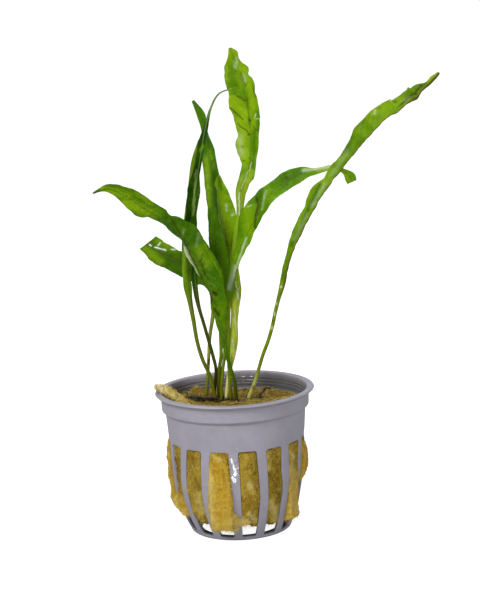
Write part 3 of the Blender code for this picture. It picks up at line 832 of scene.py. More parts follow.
    def surface(self) -> Surface:
        """The outer and inner sheets of cells, with walls wherever a cell meets an opening.

        Returns:
            One closed surface.
        """
        rows, foot, head = self.fine_rows()
        per_rib = self.rib_columns + self.slot_columns
        columns = per_rib * self.ribs
        angles = np.array([self.row_angles(row, foot <= k <= head) for k, row in enumerate(rows)])
        dent = self.dent(angles, rows[:, 1, None])
        outer = around(rows[:, 0, None] + dent, angles, rows[:, 1, None])
        inner = around(rows[:, 2, None] + dent, angles, rows[:, 3, None])
        i, j = np.meshgrid(np.arange(len(rows) - 1), np.arange(columns), indexing="ij")
        solid = ~((i >= foot) & (i < head) & (j % per_rib >= self.rib_columns - 1))
        quads = grid_quads(len(rows), columns).reshape(len(rows) - 1, columns, 4)
        padded = np.pad(solid, ((1, 1), (0, 0)))
        beside = (padded[:-2], np.roll(solid, -1, 1), padded[2:], np.roll(solid, 1, 1))
        inner_start = len(rows) * columns
        faces = quads[solid].tolist() + (quads[solid][:, ::-1] + inner_start).tolist()
        for side, neighbour in enumerate(beside):
            edge = quads[solid & ~neighbour]
            start, end = edge[:, side], edge[:, (side + 1) % 4]
            faces += np.stack([end, start, start + inner_start, end + inner_start], axis=1).tolist()
        points = np.concatenate([outer.reshape(-1, 3), inner.reshape(-1, 3)])
        used = np.zeros(len(points), bool)
        used[np.ravel(faces)] = True
        renumbered = np.cumsum(used) - 1
        inside = np.arange(len(points)) >= inner_start
        marks = self.marks(points, np.tile(angles.ravel(), 2), inside)
        return Surface(points[used], renumbered[np.array(faces)].tolist(),
                       marks={name: values[used] for name, values in marks.items()})

    def marks(self, points: Array, angles: Array, inside: NDArray[np.bool_]) -> dict[str, Array]:
        """Where water lies and where its glints are painted, where a rib is scratched, which of the wall is
        inside and wet, and where the inside takes painted shade.

        Args:
            points: The pot's points.
            angles: Their angles round the pot, in radians.
            inside: Whether each is on the inner sheet.

        Returns:
            The effects' values.
        """
        height = points[:, 2]
        off = np.degrees(wrapped(angles - np.radians(self.phase)))
        rib = (np.abs(off) < self.front_half) * ease(height, self.wet_from, self.wet_from + 1.5) * ~inside
        rib = rib * ease(height, self.slot_span[1] + 1.2, self.slot_span[1] - 0.2)
        # The painted highlight: a white streak of water glints down the front rib and a line of them along
        # the inner back wall.
        line = -0.6 + 0.9 * ease(height, 31.0, 22.0)
        painted_glint = np.exp(-(((off - line * 2.4) / 3.6) ** 4)) * ~inside
        painted_glint = painted_glint * ease(height, 19.5, 22.5) * ease(height, 32.2, 31.2)
        turn = np.degrees(angles) % 360.0
        start, end = self.wet_wall
        wall = inside * ease(turn, start, start + 6) * ease(turn, end, end - 6) * ease(height, 44.0, 45.5)
        glint_on_wall = wall * np.exp(-(((height - self.wall_glint_height) / 0.28) ** 2))
        aside, level = self.scar
        scar = (np.abs(off + aside) < 4.6) * np.exp(-((height - level) / 0.35) ** 2) * ~inside
        return {
            "wet": np.clip(rib + 0.45 * wall, 0, 1),
            "scar": 0.5 * scar,
            # Painted shade: the inner wall of the collar, and the inner face below the base's top.
            "inside": inside * ease(height, 42.0, 43.5) * ease(height, 49.2, 48.6),
            "painted_base_shade": (inside & (height < self.base_shade_below)).astype(float),
            "painted_glint": np.clip(painted_glint + 0.9 * glint_on_wall, 0, 1),
        }

    def build(self) -> None:
        """The pot with every edge slightly rounded, as it leaves the mould."""
        piece = make_piece("pot", self.surface(), self.finish.material(), ["net_pot"])
        soft = piece.modifiers.new("rounded_edges", "BEVEL")
        soft.width = self.bevel * MM
        soft.segments = 2
        soft.limit_method = "ANGLE"
        soft.angle_limit = np.radians(38.0)
        soft.harden_normals = True


# Marks


class Patch(Enum):
    """What a mark on a frond or on the wool changes."""

    # Light and shade marks on a frond are painted light and painted shade, partly its own tone; a pale mark
    # on a frond is a painted highlight.
    LIGHT = "light"
    PAINTED_SHADE = "shade"
    MARK = "mark"
    PALE = "pale"
    WET = "wet"
    CREAM = "cream"
    GOLD = "gold"
    DEEP = "deep"


@dataclass(frozen=True)
class Spot:
    """A mark on a frond or on the wool, seen from the viewer's side.

    Attributes:
        patch: What it changes.
        start: x and z of one end, from the pot's axis.
        end: x and z of the other.
        width: Half of its width.
        strength: How strong it is, from 0 to 1.
    """

    patch: Patch
    start: Row
    end: Row
    width: float = 0.35
    strength: float = 0.85

    def value(self, points: Array) -> Array:
        """exp(-(d / width)^2) of the distance d from the mark's line, seen from the viewer's side.

        Args:
            points: Where to read it.

        Returns:
            Its strength at each point.
        """
        seen = points[:, [0, 2]]
        start, end = np.array(self.start), np.array(self.end)
        run = end - start
        share = np.clip((seen - start) @ run / max(float(run @ run), 1e-9), 0.0, 1.0)
        away = np.linalg.norm(seen - start - share[:, None] * run, axis=1)
        return self.strength * np.exp(-((away / self.width) ** 2))


def spots_of(**groups: Rows) -> tuple[Spot, ...]:
    """Marks by what they change: x and z of both ends, then half a width and a strength of its own."""
    return tuple(Spot(Patch(name), row[:2], row[2:4], *row[4:])
                 for name, rows in groups.items() for row in rows)


# Mineral wool


@dataclass(frozen=True)
class WoolFinish:
    """Wet yellow-brown mineral wool: golden where it bulges out, and a darker olive where it lies back, which
    is painted shade.
    """

    # Wool that lies back between the ribs: a darker olive, painted shade.
    recess_painted_shade: Colour = paint(118, 92, 8)
    recess_painted_shade_pale: Colour = paint(178, 152, 58)
    outer: Colour = paint(184, 144, 22)
    outer_light: Colour = paint(212, 180, 76)
    top: Colour = paint(88, 70, 12)
    top_light: Colour = paint(158, 136, 56)
    cream: Colour = paint(226, 210, 134)
    gold: Colour = paint(182, 130, 4)
    deep: Colour = paint(92, 66, 4)
    tip: Colour = paint(232, 228, 196)
    speck: Colour = paint(58, 42, 18)
    roughness: float = 0.55

    def colour(self, tree: Tree, place: Socket) -> tuple[Socket, Socket]:
        """Patchy colour over the wool, darker with painted shade where it lies back.

        Args:
            tree: The material's nodes.
            place: Where the surface is.

        Returns:
            The colour and a height for relief.
        """
        long_place, top = stretched(place, 1.0, 1.0, 0.45), mark_of(tree, "top")
        clouds = EFFECTS.place(Effect.MOTTLE, long_place, Scale=240.0, Sharpness=0.9)["Mask"]
        threads = EFFECTS.place(Effect.MOTTLE, place, Scale=900.0, Sharpness=0.6)["Mask"]
        grain = EFFECTS.place(Effect.FINE_GRAIN, place, Scale=2400.0)
        strands = between(noise_at(long_place, 1300.0, 5.0, 0.75, 1.2), 0.38, 0.62)
        mix = plus(times(clouds, 0.6), times(strands, 0.4))
        outer = blend(mix, self.outer, self.outer_light)
        # Painted shade: the wool that lies back takes the darker olive.
        colour = blend(mark_of(tree, "out"), blend(mix, self.recess_painted_shade, self.recess_painted_shade_pale), outer)
        colour = blend(top, colour, blend(mix, self.top, self.top_light))
        shades = {Patch.GOLD: self.gold, Patch.DEEP: self.deep, Patch.CREAM: self.cream, Patch.PALE: self.tip}
        for patch, shade in shades.items():
            colour = blend(mark_of(tree, patch.value), colour, shade)
        dirt = between(noise_at(place, 620.0, 3.0, 0.6), 0.62, 0.70)
        colour = blend(times(dirt, times(top, 0.8)), colour, self.speck)
        colour = blend(between(grain["Specks"], 0.0, 1.0, 0.14, 0.0), colour, self.recess_painted_shade)
        return colour, plus(plus(grain["Height"], threads), strands)

    def material(self) -> bpy.types.Material:
        """The wool's own surface, wet in patches.

        Returns:
            The finished material.
        """
        material, tree, shader = new_material("mineral_wool")
        place = object_place(tree)
        colour, height = self.colour(tree, place)
        gloss = EFFECTS.place(Effect.WET_FILM, place, Scale=500.0, Amount=0.55)["Gloss"]
        rough = between(gloss, 0.0, 1.0, self.roughness, 0.24)
        feed(shader, {"Base Color": colour, "Roughness": rough, "Specular IOR Level": 0.08})
        relief(shader, height, 0.00022, 0.8)
        return material

    def thread_material(self) -> bpy.types.Material:
        """Loose threads, each of its own tone between the wool's gold and its palest colour.

        Returns:
            The finished material.
        """
        material, tree, shader = new_material("wool_threads")
        patch = noise_at(object_place(tree), 260.0)
        colour = blend(mark_of(tree, "tone"), self.outer_light, self.cream)
        colour = blend(between(patch, 0.35, 0.65, 0.5, 0.0), colour, self.outer)
        rough = between(patch, 0.0, 1.0, 0.4, 0.6)
        feed(shader, {"Base Color": colour, "Roughness": rough, "Specular IOR Level": 0.1})
        return material


@dataclass(frozen=True)
class Tongue:
    """Wool pushed out through one slot.

    Attributes:
        slot: The slot's number to the right of the front rib.
        levels: Going up, the height, the outer face's radius and how far it laps over the ribs on
            its left and on its right.
    """

    slot: int
    levels: Rows


@dataclass
class WoolPlug:
    """The plug, its tongues and the lobe that spills over the rim, with loose threads.

    Attributes:
        pot: The pot that holds it.
        clearance: How far it keeps inside the wall.
        bottom: The height of its lower edge.
        top: The height of its top, before the swellings.
        columns: How many columns of points go round it.
        side_rows: How many rows its side has.
        top_rings: How many rings its top has.
        lumps: x, y, spread and rise of each swelling of its top.
        block: Where the raised block of the top starts: its left edge's x and its back edge's y.
        rest: How far the wool in a plain slot stands out from the wall's inner face, by slot number.
        sags: How much lower than elsewhere the wool hangs in a slot.
        tongues: The wool that is pushed out through slots.
        lobes: x, y, z, half depth and half height of the lobe over the rim and of two tufts that
            hang over the front rib.
        lobe_details: How many sections and sides each of them has, and how torn it is.
        spots: Patches of cream, gold or dark wool, seen from the viewer's side.
        thread_count: How many loose threads each of its two pieces of threads has.
        thread_radius: Half of a thread's thickness at its foot.
        side_lengths: The shortest and the longest thread round the side.
        top_lengths: The same on the top and the lobe.
        finish: Its wool.
    """

    pot: NetPot
    clearance: float = 0.4
    bottom: float = 5.8
    top: float = 44.6
    columns: int = 480
    side_rows: int = 118
    top_rings: int = 58
    lumps: Rows = (
        (-12.6, 14.6, 2.2, 2.6), (-14.9, 15.6, 2, 1.8), (-10.8, 13.2, 1.8, 1.2), (-17.6, 10.6, 2.4, 2.2),
        (-16, -3, 4.2, 2), (1, -15, 8, 1.8), (13, 6, 7, -0.9), (2, 20, 8, -0.8), (-7.5, -9, 2.6, 0.8),
        (6, -4, 3, 0.6), (-3, -6, 2.4, 0.5),
    )
    block: tuple[float, float] = (-10.6, -3.0)
    rest: tuple[tuple[int, float], ...] = (
        (-6, 0.5), (-5, 0.2), (-3, 0.3), (-2, 0.85), (0, 0.85), (1, 0.55), (2, 0.8), (4, 0.6), (5, 0.3),
        (7, 0.5),
    )
    sags: tuple[tuple[int, float], ...] = ((-2, 0.2), (0, -0.5), (1, -1.6), (5, 0.6), (7, -0.4))
    tongues: tuple[Tongue, ...] = (
        Tongue(-1, (
            (4.6, 22.6, 0.7, 0.4), (5.8, 23.7, 0.9, 0.6), (9.2, 24.1, 1, 0.7), (12, 24.1, 1, 0.5),
            (22, 24.1, 0.4, 0.2), (30, 23.9, 0.1, 0), (32.2, 23.6, 0, 0),
        )),
        Tongue(-3, (
            (7, 21.4, 0.6, 0.3), (8.2, 22.5, 1.8, 0.4), (12, 23.3, 1.6, 0.2), (14.5, 22.9, 0.4, 0),
            (17.5, 22.4, 0, 0),
        )),
        Tongue(-4, (
            (7.8, 22.2, 0.6, 0.8), (9.2, 23.2, 0.6, 2.6), (12, 24, 0.6, 2.2), (15.5, 23.8, 0.5, 0.6),
            (20.5, 24.2, 0.5, 0.3), (27, 24.6, 0.5, 0.2), (32.2, 23.9, 0.4, 0.1),
        )),
        Tongue(2, (
            (5, 22, 0.3, 0.6), (6, 22.6, 0.4, 0.9), (7.5, 22.6, 0.3, 0.6), (12, 22.5, 0.1, 0.4),
            (20, 22.9, 0, 0.2), (24, 22.9, 0, 0),
        )),
        Tongue(3, (
            (16.6, 21.8, 0.2, 0.2), (18.6, 23, 0.2, 0.3), (21.4, 23.9, 0.2, 0.3), (25.6, 24.4, 0.2, 0.3),
            (29.9, 23.6, 0.2, 0.3), (32, 22.9, 0.1, 0.2),
        )),
        Tongue(6, (
            (8, 21.6, 0.8, 1.6), (10, 23.1, 0.8, 1.6), (18, 24.1, 0.8, 1.2), (26, 24, 0.4, 0.8),
            (31.8, 23.4, 0.2, 0.4),
        )),
        Tongue(-7, (
            (5.6, 20.8, 0.6, 0.2), (7.4, 22.6, 1.2, 0.2), (14, 23.9, 1, 0.2), (22, 24.2, 0.6, 0.2),
            (31.8, 23.4, 0.2, 0.1),
        )),
    )
    lobes: tuple[Rows, ...] = (
        (
            (-13.5, -3.6, 43.9, 2.6, 0.9), (-17, -3.3, 45.4, 3.6, 1.3), (-20.2, -2.6, 47.6, 4, 1.7),
            (-23, -1.8, 49.8, 3.8, 1.7), (-25.6, -1, 51.1, 2.8, 1.1), (-27.4, -0.4, 51.5, 1.8, 0.6),
        ),
        (
            (-4.6, -22.9, 9.4, 0.5, 1.3), (-2.8, -22.2, 9, 0.35, 1.3), (-1.2, -21.6, 8.2, 0.25, 0.9),
            (0.6, -21.4, 7.6, 0.25, 0.8), (2.4, -21.2, 7.6, 0.3, 0.9),
        ),
        (
            (-2.7, -22.4, 10.6, 0.3, 0.7), (-2.4, -22, 8, 0.3, 0.8), (-2.6, -21.7, 6.4, 0.25, 0.6),
            (-2.8, -21.5, 5.2, 0.15, 0.25),
        ),
    )
    lobe_details: tuple[tuple[int, int, float], ...] = ((84, 60, 1.0), (40, 24, 0.35), (30, 20, 0.3))
    spots: tuple[Spot, ...] = spots_of(
        cream=((-10.1, 27, -9.6, 8.5, 0.9, 0.6), (-8.4, 31.5, -6.6, 30.6, 0.8, 0.52),
            (-9, 5.2, -3.6, 5, 0.8, 0.45), (-3.4, 8.6, 1.6, 8, 1.2, 0.56), (3.8, 21.5, 3.6, 19.6, 1.1, 0.45),
            (2.6, 10.6, 5, 7, 1, 0.52), (9.6, 31, 9.8, 26, 1, 0.45), (10.2, 13, 12.4, 6.5, 1.3, 0.49),
            (-13.6, 17, -13, 10, 1.1, 0.45), (-23, 11, -19, 8.6, 1.1, 0.45), (17.2, 30, 18.6, 27, 0.8, 0.52),
            (17.8, 24, 19, 6, 1.6, 0.45), (-10.3, 45.8, -9.8, 45, 0.5, 0.45)),
        gold=((-8, 27.4, -5.2, 26.4, 1.5, 0.54), (-4.6, 25, -4.2, 15, 0.7, 0.36),
            (-6, 14.5, -6.6, 10.5, 1.5, 0.36), (1.2, 16, 1.6, 11, 1, 0.36), (17.2, 24, 18.4, 10, 1.1, 0.4)),
        deep=((-5.4, 25.6, -4.8, 22.8, 0.5, 0.35), (5.6, 29, 6.2, 8, 0.8, 0.42), (5.8, 16, 5.6, 9, 1.2, 0.42),
            (9.8, 24, 12.4, 22, 1.1, 0.49), (12.4, 21, 13.2, 14.5, 1.3, 0.56),
            (-16.4, 30, -13.8, 30.6, 0.9, 0.35), (-14.4, 23, -13.6, 20, 1.1, 0.28),
            (-21.8, 29, -21, 15, 1.2, 0.52)),
        pale=((-2.4, 8.4, 1, 8.1, 0.8, 0.18),),
    )
    thread_count: int = 7000
    thread_radius: float = 0.05
    side_lengths: tuple[float, float] = (0.6, 2.0)
    top_lengths: tuple[float, float] = (0.5, 1.6)
    finish: WoolFinish = WoolFinish()

    def height(self, x: Array, y: Array) -> Array:
        """The top's height: a level, round swellings, and a raised block at the front.

        A swelling adds rise * exp(-d^2 / (0.72 spread^2)) at a distance d from its middle.

        Args:
            x: Places to the right of the pot's axis.
            y: Places behind it.

        Returns:
            The height at each place.
        """
        height = np.full(np.shape(x), self.top)
        for lump_x, lump_y, spread, rise in self.lumps:
            height = height + rise * np.exp(-((x - lump_x) ** 2 + (y - lump_y) ** 2) / (0.72 * spread**2))
        left, back = self.block
        return height + 0.9 * ease(x, left - 0.3, left + 0.3) * ease(y, back, back - 4.0) - 0.3

    def bulge(self, turn: Array, height: Array) -> tuple[Array, Array]:
        """How far out the wool stands at each angle and height.

        It keeps its clearance inside the wall, swells in an open slot, and a tongue adds a pad of
        profile sqrt(1 - x^6) across its width, x going from -1 to 1 between its laps.

        Args:
            turn: Angles in radians.
            height: Heights.

        Returns:
            The radius, and a share that is 0 behind the wall and 1 where the wool can be seen.
        """
        dent = self.pot.dent(turn, height)
        inner = self.pot.radius(height, Face.INNER) + dent
        outer = self.pot.radius(height, Face.OUTER) + dent
        foot, head = self.pot.slot_span
        radius = inner - self.clearance
        open_share = np.zeros(np.shape(turn))
        tongues = {tongue.slot % self.pot.ribs: tongue for tongue in self.tongues}
        rests = {slot % self.pot.ribs: rest for slot, rest in self.rest}
        ragged = around(outer, turn, height)
        for slot in range(self.pot.ribs):
            left, right = self.pot.slot_edges(slot, height)
            lateral = wrapped(turn - (left + right) / 2) * outer
            half = (right - left) / 2 * outer
            inside = ease(half - np.abs(lateral), -0.12, 0.1)
            inside = inside * ease(height, foot, foot + 1.5) * ease(height, head, head - 0.5)
            radius = radius + inside * (self.clearance + rests.get(slot, 0.3))
            open_share = np.maximum(open_share, inside)
            if slot not in tongues:
                continue
            levels = np.array(tongues[slot].levels)
            laps = [np.interp(height, levels[:, 0], levels[:, column]) for column in (2, 3)]
            edge = half + np.where(lateral < 0, *laps) + 0.2 * rough_noise(ragged, 1.6, 40 + slot) - 0.1
            share = np.clip(np.abs(lateral) / edge, 0.0, 1.0)
            low, high = levels[0, 0] - 0.3, levels[-1, 0] + 0.5
            ends = np.clip(np.minimum((height - low) / 1.2, (high - height) / 0.8), 0.0, 1.0)
            crown = np.sqrt(1 - share**6) * np.sqrt(ends)
            pad = np.interp(height, levels[:, 0], levels[:, 1])
            base = np.where(pad > outer, outer + 0.12, inner)
            on_pad = (share < 1.0) & (ends > 0.0)
            radius = np.where(on_pad, np.maximum(radius, base + (pad - base) * crown), radius)
            open_share = np.where(on_pad, 1.0, open_share)
        return radius, open_share

    def bottom_edge(self, turn: Array) -> Array:
        """The height of the wool's torn lower edge, which hangs lower where a tongue does.

        Args:
            turn: Angles in radians.

        Returns:
            One height for each.
        """
        edge = np.full(np.shape(turn), self.bottom)
        drops = dict(self.sags) | {tongue.slot: tongue.levels[0][0] - self.bottom for tongue in self.tongues}
        for slot, drop in drops.items():
            left, right = self.pot.slot_edges(slot, np.array(self.bottom))
            away = np.abs(wrapped(turn - (left + right) / 2))
            near = ease(away, 0.62 * self.pot.pitch, 0.42 * self.pot.pitch)
            edge = edge + near * min(drop, 2.0)
        ring = around(21.0, turn, 0.0)
        return edge + 0.5 * rough_noise(ring, 2.6, 5) + 0.4 * rough_noise(ring, 0.8, 6)

    def plug(self) -> Surface:
        """Rings out over the bottom, up the side and in over the top.

        Returns:
            The closed plug with its effects.
        """
        turn = 2 * np.pi * np.arange(self.columns) / self.columns
        low = self.bottom_edge(turn)
        edge = self.pot.radius(self.top, Face.INNER) - self.clearance
        high = self.height(edge * np.sin(turn), -edge * np.cos(turn)) - 0.7
        share = np.linspace(0, 1, self.side_rows)[:, None]
        heights = low + (high - low) * share
        turns = np.broadcast_to(turn, heights.shape)
        radius, open_share = self.bulge(turns, heights)
        place = around(radius, turns, heights)
        rough = 0.40 * rough_noise(place * [1.0, 1.0, 0.6], 3.0, 1) + 0.22 * rough_noise(place, 1.1, 2, 3)
        inner = self.pot.radius(heights, Face.INNER) + self.pot.dent(turns, heights)
        behind = np.minimum(radius + rough, inner - 0.12)
        radius = np.where(open_share > 0.5, radius + rough * open_share, behind)
        side = around(radius * (1.0 - 0.06 * ease(share, 0.03, 0.0)), turns, heights)
        bottom = [around(radius[0] * inset, turn, low + rise) for inset, rise in
                  ((0.06, 0.6), (0.25, 0.6), (0.45, 0.5), (0.65, 0.4), (0.8, 0.2), (0.9, 0.05))]
        insets = np.r_[np.linspace(0.995, 0.93, 8), np.linspace(0.92, 0.02, self.top_rings - 8)][:, None]
        lid = around(radius[-1] * insets, turns[:1], 0.0)
        level = self.height(lid[..., 0], lid[..., 1])
        level = level + 0.45 * rough_noise(lid, 2.4, 11) + 0.35 * rough_noise(lid, 0.9, 12, 3)
        rim_share = ease(insets, 0.92, 1.0)
        lid[..., 2] = level * (1 - rim_share) + side[-1, :, 2] * rim_share
        rings = np.concatenate([np.array(bottom), side, lid])
        points = np.concatenate([rings.reshape(-1, 3), [rings[0].mean(axis=0), rings[-1].mean(axis=0)]])
        count = len(points) - 2
        start, last = np.arange(self.columns), np.arange(count - self.columns, count)
        fans = np.concatenate([
            np.stack([np.roll(start, -1), start, np.full(self.columns, count)], axis=1),
            np.stack([last, np.roll(last, -1), np.full(self.columns, count + 1)], axis=1),
        ])
        stand_out, on_top = np.zeros(rings.shape[:2]), np.zeros(rings.shape[:2])
        stand_out[len(bottom):len(bottom) + self.side_rows] = ease(radius - inner, 0.8, 1.8)
        on_top[len(bottom) + self.side_rows:] = 1.0
        marks = self.marks(points, np.r_[stand_out.ravel(), 0, 0], np.r_[on_top.ravel(), 0, 1])
        faces = grid_quads(rings.shape[0], self.columns).tolist() + fans.tolist()
        return Surface(points, faces, marks=marks)

    def marks(self, points: Array, out: Array, top: Array) -> dict[str, Array]:
        """The wool's effects at its points: how far out it stands, its top, and its patches.

        Args:
            points: The points.
            out: 1 where the wool bulges out.
            top: 1 on its top.

        Returns:
            Every effect that the finish reads.
        """
        patches = (Patch.CREAM, Patch.GOLD, Patch.DEEP, Patch.PALE)
        marks = {"out": out, "top": top} | {patch.value: np.zeros(len(points)) for patch in patches}
        wobble = 0.8 * np.stack([rough_noise(points, 1.6, 81 + k, 2) for k in range(3)], axis=1)
        facing = ease(points[:, 1], 2.0, -2.0)
        for spot in self.spots:
            name = spot.patch.value
            marks[name] = np.maximum(marks[name], spot.value(points + wobble) * facing)
        return marks

    def lobe(self, rows: Sequence[Sequence[float]], rings: int, sides: int, torn: float) -> Surface:
        """A lobe: an oval section carried along its rows, torn into lumps by noise.

        Args:
            rows: x, y, z, half depth and half height along it.
            rings: How many sections it has.
            sides: How many points each section has.
            torn: How far the noise moves its skin.

        Returns:
            The closed lobe with its effects.
        """
        path = smooth_rows(rows, rings)
        _, across, _ = frame_along(path[:, :3])
        away = np.array([0.0, 1.0, 0.0])
        turn = 2 * np.pi * np.arange(sides) / sides
        tip = np.sqrt(np.clip(1 - np.linspace(0, 1, rings) ** 8, 0.02, 1.0))[:, None, None]
        wide = away * np.cos(turn)[None, :, None] * path[:, 3, None, None] * tip
        thick = across[:, None] * np.sin(turn)[None, :, None] * path[:, 4, None, None] * tip
        middle = path[:, None, :3]
        points = middle + wide + thick
        swell = torn * (0.55 * rough_noise(points, 2.6, 21) + 0.45 * rough_noise(points, 1.0, 22, 3))
        points = (points + unit(points - middle) * swell[..., None]).reshape(-1, 3)
        marks = self.marks(points, np.full(len(points), 0.8), np.zeros(len(points)))
        marks["cream"] = np.maximum(marks["cream"], 0.7 * ease(points[:, 0], -12.0, -18.0))
        marks["pale"] = np.maximum(marks["pale"], 0.9 * ease(points[:, 0], -22.0, -26.0))
        return Surface(points, tube_faces(rings, sides), marks=marks)

    def threads(self, ground: Surface, seed: int, weight: Array, length: tuple[float, float]) -> Surface:
        """Loose threads that lie on the wool and stand a little off it.

        Args:
            ground: The surface that they grow from.
            seed: The random stream.
            weight: How often a thread starts at each of its points.
            length: The shortest and the longest thread.

        Returns:
            All of the threads.
        """
        random = np.random.default_rng(seed)
        count = self.thread_count
        starts = random.choice(len(ground.points), count, p=weight / weight.sum())
        place = ground.points[starts]
        top = ground.marks["top"][starts, None]
        outward = unit(place * [1.0, 1.0, 0.0]) * (1 - top) + [0.0, 0.0, 1.0] * top
        loose = unit(random.normal(size=(count, 3)) * [1.0, 1.0, 1.3])
        along = loose - outward * np.sum(loose * outward, axis=1, keepdims=True)
        lift = random.uniform(0.02, 0.45, (count, 1)) ** 1.4
        lengths = random.uniform(length[0], length[1], count)
        along = unit(along) + lift * outward
        return fibres(place - 0.03 * outward, along, lengths, self.thread_radius, 0.6, seed)

    def build(self) -> None:
        """The wool and its threads, which are two pieces: round the side, and on the top and lobe."""
        plug = self.plug()
        lobes = [self.lobe(rows, *detail) for rows, detail in zip(self.lobes, self.lobe_details)]
        body = joined([plug, *lobes])
        make_piece("wool", body, self.finish.material(), ["wool_plug"])
        threads = self.finish.thread_material()
        side = np.clip(body.marks["out"] * 1.2 + 0.25, 0, 1) * (1 - body.marks["top"])
        hanging = 3.0 * ease(body.points[:, 2], self.bottom + 1.5, self.bottom)
        side = side * (1 + hanging) * (body.points[:, 2] < self.pot.slot_span[1])
        side_threads = self.threads(body, 3, side, self.side_lengths)
        make_piece("wool_threads_side", side_threads, threads)
        on_lobe = 2.0 * (np.arange(len(body.points)) >= len(plug.points))
        upper = body.marks["top"] * np.hypot(body.points[:, 0], body.points[:, 1]) / 20.0 + on_lobe
        top_threads = self.threads(body, 4, upper, self.top_lengths)
        make_piece("wool_threads_top", top_threads, threads)


# Rhizome and roots


@dataclass(frozen=True)
class BarkFinish:
    """Dark wet skin of the rhizome or of a root.

    Attributes:
        slot: The record's material slot that it belongs to, or the material's name.
        dark: Its darker brown.
        light: Its lighter brown.
    """

    slot: str
    dark: Colour
    light: Colour

    def material(self) -> bpy.types.Material:
        """Patches of two browns, with close grain and a little water.

        Returns:
            The finished material.
        """
        material, tree, shader = new_material(self.slot)
        place = object_place(tree)
        clouds = EFFECTS.place(Effect.MOTTLE, place, Scale=900.0, Sharpness=0.8)["Mask"]
        grain = EFFECTS.place(Effect.FINE_GRAIN, place, Scale=3000.0)["Height"]
        gloss = EFFECTS.place(Effect.WET_FILM, place, Scale=800.0, Amount=0.5)["Gloss"]
        rough = between(gloss, 0.0, 1.0, 0.55, 0.15)
        feed(shader, {"Base Color": blend(clouds, self.dark, self.light), "Roughness": rough})
        relief(shader, grain, 0.00015)
        return material


@dataclass
class Stock:
    """A creeping or wiry stem of round section, knobbly with scars.

    Attributes:
        name: The piece's name.
        node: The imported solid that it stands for.
        rows: x, y, z and radius along it.
        finish: Its skin.
        knobs: How far its skin swells, as a share of its radius.
        sides: How many points each of its rings has.
    """

    name: str
    node: str
    rows: Rows
    finish: BarkFinish
    knobs: float = 0.28
    sides: int = 26

    def surface(self) -> Surface:
        """A tube whose radius r becomes r (1 + knobs * noise), drawn in to a blunt point at each end.

        Returns:
            The closed tube.
        """
        span = float(length_of(np.array(self.rows)[:, :3])[-1])
        rings = max(24, int(span / 0.14))
        path = smooth_rows(self.rows, rings)
        _, across, away = frame_along(path[:, :3])
        share = np.linspace(-1, 1, rings)
        blunt = np.sqrt(np.clip(1 - share**14, 0.04, 1.0))[:, None, None]
        ring = turned(away, across, self.sides)
        points = path[:, None, :3] + ring * path[:, 3, None, None] * blunt
        cell = 2.2 * path[:, 3].mean()
        swell = self.knobs * (rough_noise(points, cell, 31) + 0.5 * rough_noise(points, cell / 3, 32, 2))
        points = points + ring * (swell * path[:, 3, None])[..., None] * blunt
        return Surface(points.reshape(-1, 3), tube_faces(rings, self.sides))

    def build(self) -> None:
        """The finished stem."""
        make_piece(self.name, self.surface(), self.finish.material(), [self.node])


RHIZOME_BARK = BarkFinish("rhizome_bark", paint(30, 24, 14), paint(74, 62, 30))
STOCKS = (
    Stock("rhizome_stem", "rhizome", (
        (-11.6, 9.8, 43.4, 0.9), (-8.8, 7.4, 43.3, 1.5), (-5.4, 4.6, 43.3, 1.6), (-2, 2.8, 43.3, 1.45),
        (1.8, 2, 43.3, 1.3), (5.6, 3, 43.4, 1.1),
    ), RHIZOME_BARK, 0.5),
    Stock("wiry_root_right", "root_right", (
        (8, 3.4, 44.4, 0.3), (8.8, 4.4, 45.6, 0.48), (9.4, 3.9, 46.3, 0.3), (10.2, 4.9, 46.9, 0.46),
        (10.9, 4.3, 47.7, 0.3), (11.8, 4.8, 47.6, 0.42), (12.9, 4.2, 47.3, 0.22),
    ), BarkFinish("root_right_brown", paint(26, 18, 12), paint(62, 44, 26)), 0.4),
    Stock("wiry_root_left", "root_left", (
        (-10.6, 4.6, 44.9, 0.4), (-13, 3.2, 46.1, 0.55), (-14.8, 3, 46.4, 0.5), (-16.8, 3.4, 46.9, 0.4),
    ), BarkFinish("root_left_brown", paint(32, 26, 12), paint(84, 78, 30)), 0.4),
    Stock("wiry_root_front", "root_front", (
        (-5, 0.6, 45, 0.3), (-7, -0.6, 46.5, 0.5), (-8.6, -0.8, 46.9, 0.5), (-10.4, 0.3, 46.4, 0.35),
    ), BarkFinish("root_front_brown", paint(38, 26, 18), paint(96, 70, 44)), 0.4),
    Stock("wiry_root_middle", "root_middle", (
        (5.8, 5.2, 44.8, 0.3), (5, 6, 46.7, 0.35), (4, 6.6, 47.3, 0.3), (3, 7.5, 46.4, 0.28),
    ), BarkFinish("root_middle_brown", paint(70, 44, 20), paint(138, 96, 46)), 0.3),
)


